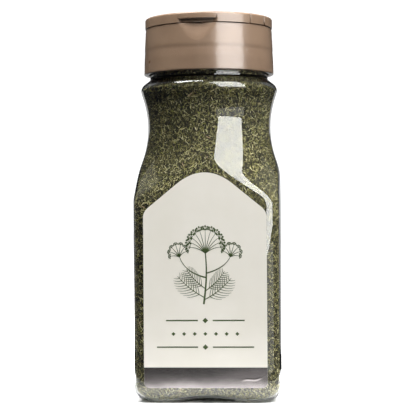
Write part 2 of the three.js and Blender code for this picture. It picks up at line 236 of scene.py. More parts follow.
def thick_patch(front: np.ndarray, back: np.ndarray) -> Shell:
    """A closed sheet between two grids of points.

    Args:
        front: A rows by columns by 3 array. From outside, rows rise and columns run to the right.
        back: The other side's points, in the same order.

    Returns:
        The points and the faces.
    """
    rows, columns = front.shape[:2]
    half = rows * columns
    faces = grid_faces(rows, columns, 0, False)
    faces += [tuple(reversed(face)) for face in grid_faces(rows, columns, half, False)]
    border = [*range(columns)]
    border += [row * columns + columns - 1 for row in range(1, rows)]
    border += [(rows - 1) * columns + column for column in range(columns - 2, -1, -1)]
    border += [row * columns for row in range(rows - 2, 0, -1)]
    faces += [(b, a, a + half, b + half) for a, b in zip(border, border[1:] + border[:1])]
    return np.vstack([front.reshape(-1, 3), back.reshape(-1, 3)]), faces


def joined(parts: list[Shell]) -> Shell:
    """Several closed shells as the points and faces of one mesh.

    Args:
        parts: The shells.

    Returns:
        The points and the faces.
    """
    points, faces, count = [], [], 0
    for part_points, part_faces in parts:
        points.append(part_points)
        faces += [tuple(number + count for number in face) for face in part_faces]
        count += len(part_points)
    return np.vstack(points), faces


def polar(
    turns: np.ndarray, reach: np.ndarray | float, x: float = 0.0, y: float = 0.0
) -> np.ndarray:
    """(x, y) points at a reach in each direction from a centre."""
    return np.stack([x + reach * np.cos(turns), y + reach * np.sin(turns)], 1)


def lifted(outline: np.ndarray, height: np.ndarray | float) -> np.ndarray:
    """(x, y) points raised to a height."""
    return np.column_stack([outline, np.broadcast_to(height, len(outline))])


def ring(turns: np.ndarray, radius: np.ndarray | float, height: np.ndarray | float) -> np.ndarray:
    """Points round the Z axis, one in each direction."""
    return lifted(polar(turns, radius), height)


def smooth_step(value: np.ndarray, low: float, high: float) -> np.ndarray:
    """0 below low, 1 above high and an easy slope between."""
    share = np.clip((value - low) / (high - low), 0, 1)
    return share * share * (3 - 2 * share)


def arc(
    centre: tuple[float, float], radius: float, start: float, stop: float, steps: int
) -> list[tuple[float, float]]:
    """Points on an arc of the (radius, height) plane, between two angles in degrees."""
    angles = np.radians(np.linspace(start, stop, steps))
    return [(centre[0] + radius * math.cos(a), centre[1] + radius * math.sin(a)) for a in angles]


def blended(first: np.ndarray, second: np.ndarray, rounding: np.ndarray | float) -> np.ndarray:
    """The smaller of two reaches, with the corner where they cross rounded off."""
    near = np.maximum(rounding - np.abs(first - second), 0) / rounding
    return np.minimum(first, second) - near**2 * rounding / 4


# ---------------------------------------------------------------- finishes


@dataclass(frozen=True)
class ClearPet:
    """Blow-moulded PET: clear and glossy, with a blown wall's faint waves in its reflections."""

    ior: float = 1.57
    roughness: float = 0.01
    tint: str = "#f7f8f5"
    wave_mm: float = 9.0
    wave_height_mm: float = 0.006
    rim_shade: str = "#8c8d8a"
    rim_mm: tuple[float, float, float, float] = (131.5, 134.5, 139.0, 141.0)
    ramp_mm: float = 200.0

    def build(self) -> bpy.types.Material:
        """Makes the material. Lamps shine through it, less so in a band at the shoulder: a painted
        shadow that stands in for the light the shoulder bends away.

        Returns:
            The material.
        """
        graph = Finish("clear_pet_blown")
        place = graph.node("ShaderNodeTexCoord").outputs["Object"]
        inputs = {"Vector": place, "Scale": 1 / (self.wave_mm * MM), "Detail": 1.0}
        waves = graph.node("ShaderNodeTexNoise", inputs)
        relief = {"Height": waves, "Strength": 1.0, "Distance": self.wave_height_mm * MM}
        inputs = {
            "Base Color": linear(self.tint),
            "Roughness": self.roughness,
            "IOR": self.ior,
            "Transmission Weight": 1.0,
            "Normal": graph.node("ShaderNodeBump", relief),
        }
        glass = graph.node("ShaderNodeBsdfPrincipled", inputs)
        height = graph.node("ShaderNodeSeparateXYZ", {"Vector": place}).outputs["Z"]
        inputs = {0: height, 1: self.ramp_mm * MM}
        share = graph.node("ShaderNodeMath", inputs, operation="DIVIDE")
        # Shadow rays through the wall take rim_shade between the rim heights: painted shadow on the
        # dill under the shoulder.
        colours = (self.tint, self.rim_shade, self.rim_shade, self.tint)
        stops = {level / self.ramp_mm: colour for level, colour in zip(self.rim_mm, colours)}
        shade = graph.node("ShaderNodeValToRGB", {"Fac": share}, stops)
        clear = graph.node("ShaderNodeBsdfTransparent", {"Color": shade})
        path = graph.node("ShaderNodeLightPath").outputs
        inputs = {0: path["Is Shadow Ray"], 1: glass, 2: clear}
        return graph.wearing(graph.node("ShaderNodeMixShader", inputs))


@dataclass(frozen=True)
class ShrinkFilm:
    """PETG shrink film: a skin thinner than paper, seen only by its gloss and its wrinkles."""

    gloss_ahead: float = 0.005
    gloss_aside: float = 0.25
    roughness: float = 0.12
    crumple_mm: float = 5.0
    crumple_height_mm: float = 0.05
    crumple_strength: float = 0.5
    steepness: float = 5.0

    def build(self) -> bpy.types.Material:
        """Makes the material: clear, with gloss by angle.

        Returns:
            The material.
        """
        graph = Finish("shrink_film_clear")
        place = graph.node("ShaderNodeTexCoord").outputs["Object"]
        inputs = {"Vector": place, "Scale": 1 / (self.crumple_mm * MM), "Detail": 2.0}
        relief = {
            "Height": graph.node("ShaderNodeTexNoise", inputs),
            "Strength": self.crumple_strength,
            "Distance": self.crumple_height_mm * MM,
        }
        normal = graph.node("ShaderNodeBump", relief)
        inputs = {"Color": WHITE, "Roughness": self.roughness, "Normal": normal}
        gloss = graph.node("ShaderNodeBsdfGlossy", inputs)
        clear = graph.node("ShaderNodeBsdfTransparent", {"Color": WHITE})
        facing = graph.node("ShaderNodeLayerWeight", {"Blend": 0.5, "Normal": normal})
        inputs = {0: facing.outputs["Facing"], 1: self.steepness}
        steep = graph.node("ShaderNodeMath", inputs, operation="POWER")
        inputs = {"Value": steep, "To Min": self.gloss_ahead, "To Max": self.gloss_aside}
        share = graph.node("ShaderNodeMapRange", inputs)
        return graph.wearing(graph.node("ShaderNodeMixShader", {0: share, 1: clear, 2: gloss}))


@dataclass(frozen=True)
class FlakedBronze:
    """Polypropylene moulded with fine metal flake: a soft bronze sheen with a fine sparkle."""

    dark: str = "#88705c"
    light: str = "#987f69"
    tone_range: tuple[float, float] = (0.35, 0.8)
    metallic: float = 0.02
    roughness: float = 0.3
    roughness_swing: float = 0.03
    coat: float = 0.65
    coat_roughness: float = 0.16
    flake_mm: float = 0.5  # drawn coarser than the real 0.05 mm flake, so that it shows
    flake_height_mm: float = 0.01
    flake_strength: float = 0.25
    flake_tone: float = 0.25
    flow_mm: float = 14.0
    flow_range: tuple[float, float] = (0.3, 0.7)

    def build(self) -> bpy.types.Material:
        """Makes the material: flow lines in its tone and roughness, and flakes that catch light.

        Returns:
            The material.
        """
        graph = Finish("flaked_bronze_polypropylene")
        place = graph.node("ShaderNodeTexCoord").outputs["Object"]
        inputs = {"Vector": place, "Scale": 1 / (self.flow_mm * MM), "Detail": 3.0}
        flow = graph.node("ShaderNodeTexNoise", inputs)
        inputs = {"Vector": place, "Scale": 1 / (self.flake_mm * MM)}
        flake = graph.node("ShaderNodeTexVoronoi", inputs)
        inputs = {0: flake, 1: self.flake_tone, 2: flow}
        blend = graph.node("ShaderNodeMath", inputs, operation="MULTIPLY_ADD")
        stops = dict(zip(self.tone_range, (self.dark, self.light)))
        swing = {
            "Value": flow,
            "From Min": self.flow_range[0],
            "From Max": self.flow_range[1],
            "To Min": self.roughness - self.roughness_swing,
            "To Max": self.roughness + self.roughness_swing,
        }
        relief = {
            "Height": flake,
            "Strength": self.flake_strength,
            "Distance": self.flake_height_mm * MM,
        }
        inputs = {
            "Base Color": graph.node("ShaderNodeValToRGB", {"Fac": blend}, stops),
            "Metallic": self.metallic,
            "Roughness": graph.node("ShaderNodeMapRange", swing),
            "Coat Weight": self.coat,
            "Coat Roughness": self.coat_roughness,
            "Normal": graph.node("ShaderNodeBump", relief),
        }
        return graph.wearing(graph.node("ShaderNodeBsdfPrincipled", inputs))


@dataclass(frozen=True)
class Paper:
    """Coated label paper: smooth, faintly mottled, with a soft sheen."""

    name: str
    dark: str
    light: str
    roughness: float = 0.42
    tone_range: tuple[float, float] = (0.3, 0.7)
    mottle_mm: float = 22.0
    fibre_mm: float = 0.6  # drawn coarser than the real 0.03 mm fibre, so that it shows
    fibre_height_mm: float = 0.01
    fibre_strength: float = 0.2

    def build(self) -> bpy.types.Material:
        """Makes the material: a mottled tone over fine fibres.

        Returns:
            The material.
        """
        graph = Finish(self.name)
        place = graph.node("ShaderNodeTexCoord").outputs["Object"]
        inputs = {"Vector": place, "Scale": 1 / (self.mottle_mm * MM), "Detail": 4.0}
        mottle = graph.node("ShaderNodeTexNoise", inputs)
        stops = dict(zip(self.tone_range, (self.dark, self.light)))
        inputs = {"Vector": place, "Scale": 1 / (self.fibre_mm * MM)}
        relief = {
            "Height": graph.node("ShaderNodeTexNoise", inputs),
            "Strength": self.fibre_strength,
            "Distance": self.fibre_height_mm * MM,
        }
        inputs = {
            "Base Color": graph.node("ShaderNodeValToRGB", {"Fac": mottle}, stops),
            "Roughness": self.roughness,
            "Normal": graph.node("ShaderNodeBump", relief),
        }
        return graph.wearing(graph.node("ShaderNodeBsdfPrincipled", inputs))


@dataclass(frozen=True)
class FoilInk:
    """Dark metallic ink: a grey mirror, brushed by the press, that shows the label's ripples."""

    colour: str = "#a09a99"
    metallic: float = 0.93
    roughness: float = 0.14
    roughness_swing: float = 0.05
    grain_mm: float = 0.5  # drawn coarser than the ink's real 0.02 mm flakes, so that it shows
    ripple_mm: float = 7.0
    ripple_height_mm: float = 0.03

    def build(self) -> bpy.types.Material:
        """Makes the material: a fine grain in its roughness and long ripples in its reflections.

        Returns:
            The material.
        """
        graph = Finish("foil_ink_dark")
        place = graph.node("ShaderNodeTexCoord").outputs["Object"]
        inputs = {"Vector": place, "Scale": 1 / (self.grain_mm * MM), "Detail": 2.0}
        swing = {
            "Value": graph.node("ShaderNodeTexNoise", inputs),
            "To Min": self.roughness - self.roughness_swing,
            "To Max": self.roughness + self.roughness_swing,
        }
        inputs = {"Vector": place, "Scale": 1 / (self.ripple_mm * MM), "Detail": 1.0}
        ripple = graph.node("ShaderNodeTexNoise", inputs)
        relief = {"Height": ripple, "Strength": 1.0, "Distance": self.ripple_height_mm * MM}
        inputs = {
            "Base Color": linear(self.colour),
            "Metallic": self.metallic,
            "Roughness": graph.node("ShaderNodeMapRange", swing),
            "Normal": graph.node("ShaderNodeBump", relief),
        }
        return graph.wearing(graph.node("ShaderNodeBsdfPrincipled", inputs))


@dataclass(frozen=True)
class DriedHerb:
    """Dried dill: dull, papery needles. Each bit takes its own colour from its place on the map."""

    name: str
    stops: tuple[tuple[float, str], ...]
    roughness: float = 0.75
    root_shade: float = 0.8
    tip_shade: float = 1.15

    def build(self) -> bpy.types.Material:
        """Makes the material. The map's x is the bit's colour and its y runs along the bit.

        Returns:
            The material.
        """
        graph = Finish(self.name)
        spot = graph.node("ShaderNodeUVMap", uv_map=BAKE_MAP)
        along = graph.node("ShaderNodeSeparateXYZ", {0: spot}).outputs
        colour = graph.node("ShaderNodeValToRGB", {"Fac": along["X"]}, dict(self.stops))
        inputs = {"Value": along["Y"], "To Min": self.root_shade, "To Max": self.tip_shade}
        inputs = {0: colour, "Scale": graph.node("ShaderNodeMapRange", inputs)}
        shaded = graph.node("ShaderNodeVectorMath", inputs, operation="SCALE")
        inputs = {"Base Color": shaded, "Roughness": self.roughness}
        return graph.wearing(graph.node("ShaderNodeBsdfPrincipled", inputs))


@dataclass(frozen=True)
class HerbShadow:
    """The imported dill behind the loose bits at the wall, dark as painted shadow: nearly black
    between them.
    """

    dark: str = "#15160b"
    light: str = "#33351d"
    tone_range: tuple[float, float] = (0.4, 0.65)
    roughness: float = 0.9
    bit_mm: float = 1.2
    bit_height_mm: float = 0.5

    def build(self) -> bpy.types.Material:
        """Makes the material: lumps the size of the bits, with painted shade, pale on top and dark
        between.

        Returns:
            The material.
        """
        graph = Finish("dill_packed_shadow")
        place = graph.node("ShaderNodeTexCoord").outputs["Object"]
        inputs = {"Vector": place, "Scale": 1 / (self.bit_mm * MM)}
        bits = graph.node("ShaderNodeTexNoise", inputs | {"Detail": 4.0, "Roughness": 0.7})
        # The tone follows the same noise as the lumps' height: painted shade in the hollows between
        # them.
        stops = dict(zip(self.tone_range, (self.dark, self.light)))
        relief = {"Height": bits, "Strength": 1.0, "Distance": self.bit_height_mm * MM}
        inputs = {
            "Base Color": graph.node("ShaderNodeValToRGB", {"Fac": bits}, stops),
            "Roughness": self.roughness,
            "Normal": graph.node("ShaderNodeBump", relief),
        }
        return graph.wearing(graph.node("ShaderNodeBsdfPrincipled", inputs))


# ---------------------------------------------------------------- the jar


@dataclass(frozen=True)
class JarForm:
    """The jar's form: a rounded square that rises into a round waist, shoulder and neck."""

    half: float = 32.0
    corner: float = 6.8
    wall: float = 0.45
    floor: float = 0.8
    heel_height: float = 7.6
    heel_inset: float = 5.2
    foot_width: float = 4.5
    arch_height: float = 1.6
    arch_half_span: float = 15.6
    base_rise: float = 4.0
    waist_radius: float = 27.8
    waist_height: float = 121.0
    flare_curve: float = 0.0109
    flare_rise: float = 0.0000034
    chest_curve: float = 0.0124
    flare_start: float = 77.0
    chest_end: float = 135.1
    panel_rounding: float = 2.0
    corner_rounding: float = 4.0
    shoulder_centre: tuple[float, float] = (27.3, 137.45)
    shoulder_rounding: float = 3.5
    shoulder_slope: float = 52.0
    ridge_start: float = -22.0
    inner_rounding: float = 3.0
    inner_slope: float = 54.5
    steps_per_side: int = 44
    corner_bias: float = 0.28
    corner_power: float = 0.35
    base_shares: tuple[float, float, int] = (0.12, 1.0, 9)
    heel_steps: int = 14
    straight_steps: int = 8
    flare_steps: int = 60

    def directions(self) -> np.ndarray:
        """Where a ring's points lie, closest together at the corners.

        Returns:
            Their directions in radians.
        """
        even = np.linspace(-1, 1, self.steps_per_side + 1)[:-1]
        crowded = np.sign(even) * np.abs(even) ** self.corner_power
        warped = 45 * ((1 - self.corner_bias) * even + self.corner_bias * crowded)
        return np.radians(np.concatenate([quarter + warped for quarter in (0, 90, 180, 270)]))

    def off_side(self, directions: np.ndarray) -> np.ndarray:
        """Each direction's angle from the nearest side's middle."""
        folded = np.mod(directions, math.pi / 2)
        return np.minimum(folded, math.pi / 2 - folded)

    def square_reach(self, directions: np.ndarray, half: float, corner: float) -> np.ndarray:
        """How far out a rounded square's outline lies.

        Args:
            directions: Where to look, in radians.
            half: Half the square's width.
            corner: Its corners' radius.

        Returns:
            The reach in each direction.
        """
        angle = self.off_side(directions)
        flat = half - corner
        along = flat * (np.cos(angle) + np.sin(angle))
        round_reach = along + np.sqrt(np.maximum(along**2 - 2 * flat**2 + corner**2, 0))
        return np.where(half * np.tan(angle) <= flat, half / np.cos(angle), round_reach)

    def round_radius(self, height: float) -> float:
        """The round form's radius between the flare and the shoulder.

        Args:
            height: Where on the form.

        Returns:
            The radius there.
        """
        away = height - self.waist_height
        if away > 0:
            return self.waist_radius + self.chest_curve * away**2
        return self.waist_radius + self.flare_curve * away**2 + self.flare_rise * away**4

    def heel_share(self, height: float, foot: float) -> float:
        """1 at the foot and 0 from the top of the heel."""
        return min(1.0, max(0.0, 1 - (height - foot) / (self.heel_height - foot)))

    def arch(self, directions: np.ndarray, reach: np.ndarray) -> np.ndarray:
        """How far the underside is lifted: an arch in the middle of each side."""
        along = reach * np.sin(self.off_side(directions)) / self.arch_half_span
        return self.arch_height * np.maximum(0, 1 - along**2)

    def body_ring(self, height: float, inset: float, foot: float) -> np.ndarray:
        """One ring of the body's surface.

        Args:
            height: Its height, before the arches lift it.
            inset: How far inside the outer surface.
            foot: The height of the surface's foot.

        Returns:
            The ring's points.
        """
        directions = self.directions()
        heel = self.heel_share(height, foot)
        half = self.half - inset - self.heel_inset * (1 - math.sqrt(1 - heel * heel))
        reach = self.square_reach(directions, half, self.corner - min(inset, self.corner - 0.5))
        if height >= self.flare_start:
            edge = self.off_side(directions) / (math.pi / 4)
            rounding = self.panel_rounding + (self.corner_rounding - self.panel_rounding) * edge**4
            reach = blended(reach, self.round_radius(height) - inset, rounding)
        return ring(directions, reach, height + heel * self.arch(directions, reach))

    def base_ring(self, share: float, foot: float) -> np.ndarray:
        """A ring of the underside.

        Args:
            share: 1 at the foot's inner edge and 0 in the middle.
            foot: The height of the surface's foot.

        Returns:
            The ring's points.
        """
        directions = self.directions()
        half = self.half - self.heel_inset - self.foot_width
        edge = self.square_reach(directions, half, self.corner)
        lift = share**2 * self.arch(directions, edge) + self.base_rise * (1 - share**2)
        return ring(directions, edge * share, foot + lift)

    def round_rings(self, profile: list[tuple[float, float]]) -> list[np.ndarray]:
        """Round rings through (radius, height) points."""
        return [ring(self.directions(), radius, height) for radius, height in profile]

    def lower_rings(self, inset: float, foot: float) -> list[np.ndarray]:
        """The rings from the middle of the base, over the heel and up to the chest's end.

        Args:
            inset: How far inside the outer surface.
            foot: The height of the surface's foot.

        Returns:
            The rings, from the bottom up.
        """
        base = [self.base_ring(share, foot) for share in np.linspace(*self.base_shares)]
        turn = np.linspace(0, math.pi / 2, self.heel_steps)
        heel = foot + (self.heel_height - foot) * (1 - np.cos(turn))
        straight = np.linspace(self.heel_height, self.flare_start, self.straight_steps)[1:-1]
        flare = np.linspace(self.flare_start, self.chest_end, self.flare_steps)
        heights = np.concatenate([heel, straight, flare])
        return base + [self.body_ring(float(height), inset, foot) for height in heights]

    def shoulder(self, inset: float, neck: float, fillet: float) -> list[tuple[float, float]]:
        """The shoulder's profile, from the ridge to the start of the neck.

        Args:
            inset: How far inside the outer surface, or 0 on it.
            neck: The neck's radius.
            fillet: The radius of the hollow where the neck starts.

        Returns:
            (radius, height) points.
        """
        angle, radius = self.shoulder_slope, self.shoulder_rounding
        centre = self.shoulder_centre
        if inset:
            angle, radius = self.inner_slope, self.inner_rounding
            centre = (centre[0] + self.shoulder_rounding - inset - radius, centre[1])
        ridge = arc(centre, radius, self.ridge_start, angle, 14)
        slope = math.radians(angle)
        start = neck + fillet * (1 - math.cos(slope))
        rise = (ridge[-1][0] - start) / math.tan(slope)
        centre = (neck + fillet, ridge[-1][1] + rise + fillet * math.sin(slope))
        return ridge + arc(centre, fillet, 180 + angle, 180, 7)


@dataclass(frozen=True)
class Thread:
    """The screw thread that the neck and the cap share."""

    pitch: float = 4.23
    turns: float = 1.4
    start: float = 150.5
    run_in: float = 0.08

    def ridge(self, bearings: np.ndarray, rise: float, flank: tuple[float, float]) -> np.ndarray:
        """How much of the ridge stands out along a ring.

        Args:
            bearings: The ring's directions in the jar's frame, in radians.
            rise: The ring's height above the thread's start.
            flank: How far from the ridge's middle its flank starts and ends.

        Returns:
            0 to 1 for each direction.
        """
        turned = np.mod(bearings, 2 * math.pi) / (2 * math.pi)
        ridge = np.zeros_like(turned)
        for turn in range(math.ceil(self.turns)):
            run = turned + turn
            away = np.abs(rise - run * self.pitch)
            ends = 1 - smooth_step(run, self.turns - self.run_in, self.turns)
            ends = smooth_step(run, 0, self.run_in) * ends
            ridge = np.maximum(ridge, ends * (1 - smooth_step(away, *flank)))
        return ridge


@dataclass
class PetJar:
    """The clear jar: body, shoulder, neck bead and screw thread, with the wall's inner face."""

    form: JarForm
    finish: ClearPet
    thread: Thread
    neck_radius: float = 26.6
    neck_fillet: float = 1.5
    bead_top: float = 145.6
    bead_edge: float = 0.3
    finish_radius: float = 25.4
    mouth_radius: float = 24.3
    mouth_height: float = 163.4
    mouth_fillet: float = 1.0
    thread_depth: float = 1.0
    thread_flank: tuple[float, float] = (0.38, 0.95)
    thread_step: float = 0.3
    outer_lip: float = 0.4
    inner_lip: float = 0.3

    def threaded_ring(self, height: float) -> np.ndarray:
        """A ring of the neck's outside, with the thread's ridge where it crosses.

        Args:
            height: The ring's height.

        Returns:
            The ring's points.
        """
        directions = self.form.directions()
        ridge = self.thread.ridge(directions, height - self.thread.start, self.thread_flank)
        return ring(directions, self.finish_radius + self.thread_depth * ridge, height)

    def rings(self) -> np.ndarray:
        """Every ring, up the outside and back down the inside.

        Returns:
            A rings by steps by 3 array.
        """
        form, edge, neck = self.form, self.bead_edge, self.neck_radius
        bead = [(neck, self.bead_top - edge), (neck - edge, self.bead_top)]
        bead += [(self.finish_radius + 0.2, self.bead_top + edge)]
        bead += [(self.finish_radius, self.bead_top + 0.8)]
        threads = np.arange(self.bead_top + 1.5, self.mouth_height - 0.8, self.thread_step)
        outer, inner, mouth = self.outer_lip, self.inner_lip, self.mouth_height
        lip = arc((self.finish_radius - outer, mouth - outer), outer, 0, 90, 5)
        lip += arc((self.mouth_radius + inner, mouth - inner), inner, 90, 180, 5)
        inside = form.shoulder(form.wall, self.mouth_radius, self.mouth_fillet)[::-1]
        rings = form.lower_rings(0, 0)
        rings += form.round_rings(form.shoulder(0, neck, self.neck_fillet) + bead)
        rings += [self.threaded_ring(float(height)) for height in threads]
        rings += form.round_rings(lip + inside)
        return np.array(rings + form.lower_rings(form.wall, form.floor)[::-1])

    def build(self) -> None:
        """Makes the jar's wall in place of its CAD node."""
        rise = self.form.base_rise
        points, faces = skin(self.rings(), (0, 0, rise), (0, 0, rise + self.form.floor))
        wall = mesh_piece("jar_wall", points, faces, self.finish.build(), sharp=80)
        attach(wall, JAR)
        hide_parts("jar_body")
        log.info("jar wall: %d faces", len(faces))


# ---------------------------------------------------------------- the dill weed


class BitShape(Enum):
    """The shapes that dried dill breaks into: a width for every step along the bit."""

    NEEDLE = (0.5, 0.9, 1.0, 0.25)
    SLIVER = (0.7, 1.0, 0.3)


@dataclass(frozen=True)
class Bits:
    """One kind of dill bit: its shape, sizes, share of the surface and colours."""

    name: str
    shape: BitShape
    length: float
    width: float
    bend: float
    per_square_cm: float
    deepest: float
    seed: int
    herb: DriedHerb
    highest: float = 200.0
    twist: float = 0.06
    fold: float = 0.3

    def prototype(self) -> bpy.types.Object:
        """Makes the one bit that is repeated: a bent, folded strip along X, its face up.

        Returns:
            The bit, charted so that x runs across it and y along it.
        """
        widths = self.shape.value
        points, spots = [], []
        for step, share in enumerate(widths):
            along = step / (len(widths) - 1)
            x = self.length * (along - 0.5)
            y = self.bend * self.length * math.sin(math.pi * along)
            z = self.twist * self.length * math.sin(2 * math.pi * along)
            half = self.width * share / 2
            points += [(x, y - half, z), (x, y + half, z + self.fold * half)]
            spots += [(0.0, along), (1.0, along)]
        faces = [(2 * n, 2 * n + 2, 2 * n + 3, 2 * n + 1) for n in range(len(widths) - 1)]
        mesh = bpy.data.meshes.new(self.name + "_bit")
        mesh.from_pydata((np.array(points) * MM).tolist(), [], faces)
        chart = mesh.uv_layers.new(name=BAKE_MAP)
        for loop in mesh.loops:
            chart.data[loop.index].uv = spots[loop.vertex_index]
        return linked(self.name + "_bit", mesh)


class Strewer(Graph):
    """The node tree that strews bits over the surface of the fill."""

    INPUTS = {
        "Geometry": "Geometry",
        "Bit": "Object",
        "Density": "Float",
        "Deepest": "Float",
        "Tilt": "Float",
        "Seed": "Int",
        "Finish": "Material",
    }
    CHANCES = {
        "depth": (0.0, 1.0),
        "tint": (0.0, 1.0),
        "spin": (0.0, 2 * math.pi),
        "lean x": (-1.0, 1.0),
        "lean y": (-1.0, 1.0),
        "size": (0.55, 1.3),
    }
    TINT_WIDTH = 0.012  # how much of the colour map one bit covers

    def __init__(self, name: str) -> None:
        """Makes the tree, its sockets and each point's random numbers, each with its own seed.

        Args:
            name: The tree's name.
        """
        super().__init__(bpy.data.node_groups.new(name, "GeometryNodeTree"))
        sockets = [(label, "INPUT", kind) for label, kind in self.INPUTS.items()]
        for label, way, kind in [*sockets, ("Geometry", "OUTPUT", "Geometry")]:
            self.tree.interface.new_socket(label, in_out=way, socket_type="NodeSocket" + kind)
        self.given = self.node("NodeGroupInput").outputs
        self.chance = {}
        for order, (label, (low, high)) in enumerate(self.CHANCES.items(), 1):
            inputs = {0: self.given["Seed"], 1: float(order)}
            inputs = {2: low, 3: high, "Seed": self.node("ShaderNodeMath", inputs, operation="ADD")}
            drawn = self.node("FunctionNodeRandomValue", inputs, data_type="FLOAT")
            self.chance[label] = drawn.outputs[1]

    def points(self) -> tuple[bpy.types.Node, bpy.types.NodeSocket]:
        """Strews points over the surface and sinks them into it.

        Returns:
            The points, each with its tint, and their rotation.
        """
        inputs = {"Mesh": self.given["Geometry"], "Density": self.given["Density"]}
        inputs |= {"Seed": self.given["Seed"]}
        strewn = self.node("GeometryNodeDistributePointsOnFaces", inputs).outputs
        inputs = {0: self.chance["depth"], 1: self.given["Deepest"]}
        sunk = self.node("ShaderNodeMath", inputs, operation="MULTIPLY")
        back = self.node("ShaderNodeMath", {0: sunk, 1: -1.0}, operation="MULTIPLY")
        inputs = {0: strewn["Normal"], "Scale": back}
        offset = self.node("ShaderNodeVectorMath", inputs, operation="SCALE")
        inputs = {"Geometry": strewn["Points"], "Offset": offset}
        moved = self.node("GeometryNodeSetPosition", inputs)
        inputs = {"Geometry": moved, "Name": "tint", "Value": self.chance["tint"]}
        kind = "GeometryNodeStoreNamedAttribute"
        return self.node(kind, inputs, data_type="FLOAT", domain="POINT"), strewn["Rotation"]

    def charted(self, bits: bpy.types.Node) -> bpy.types.Node:
        """Moves each bit to its own place on the colour map.

        Args:
            bits: The bits as real geometry.

        Returns:
            The same bits.
        """
        named = "GeometryNodeInputNamedAttribute"
        chart = self.node(named, {"Name": BAKE_MAP}, data_type="FLOAT_VECTOR")
        own = self.node(named, {"Name": "tint"}, data_type="FLOAT")
        spot = self.node("ShaderNodeSeparateXYZ", {0: chart}).outputs
        inputs = {0: spot[0], 1: self.TINT_WIDTH, 2: own}
        across = self.node("ShaderNodeMath", inputs, operation="MULTIPLY_ADD")
        fresh = self.node("ShaderNodeCombineXYZ", {0: across, 1: spot[1]})
        inputs = {"Geometry": bits, "Name": BAKE_MAP, "Value": fresh}
        kind = "GeometryNodeStoreNamedAttribute"
        return self.node(kind, inputs, data_type="FLOAT2", domain="CORNER")

    def build(self) -> bpy.types.NodeTree:
        """Lays a leaning, turned bit on every point and dresses them all.

        Returns:
            The finished tree.
        """
        points, rotation = self.points()
        inputs = {0: self.chance["depth"], 1: self.given["Tilt"]}
        limit = self.node("ShaderNodeMath", inputs, operation="MULTIPLY")
        turn = {2: self.chance["spin"]}
        for axis, label in enumerate(("lean x", "lean y")):
            inputs = {0: self.chance[label], 1: limit}
            turn[axis] = self.node("ShaderNodeMath", inputs, operation="MULTIPLY")
        bit = self.node("GeometryNodeObjectInfo", {"Object": self.given["Bit"]})
        inputs = {"Points": points, "Instance": bit.outputs["Geometry"], "Rotation": rotation}
        inputs |= {"Scale": self.chance["size"]}
        placed = self.node("GeometryNodeInstanceOnPoints", inputs)
        inputs = {"Instances": placed, "Rotation": self.node("ShaderNodeCombineXYZ", turn)}
        leant = self.node("GeometryNodeRotateInstances", inputs)
        bits = self.charted(self.node("GeometryNodeRealizeInstances", {"Geometry": leant}))
        inputs = {"Geometry": bits, "Material": self.given["Finish"]}
        dressed = self.node("GeometryNodeSetMaterial", inputs)
        self.node("NodeGroupOutput", {"Geometry": dressed})
        return self.tree


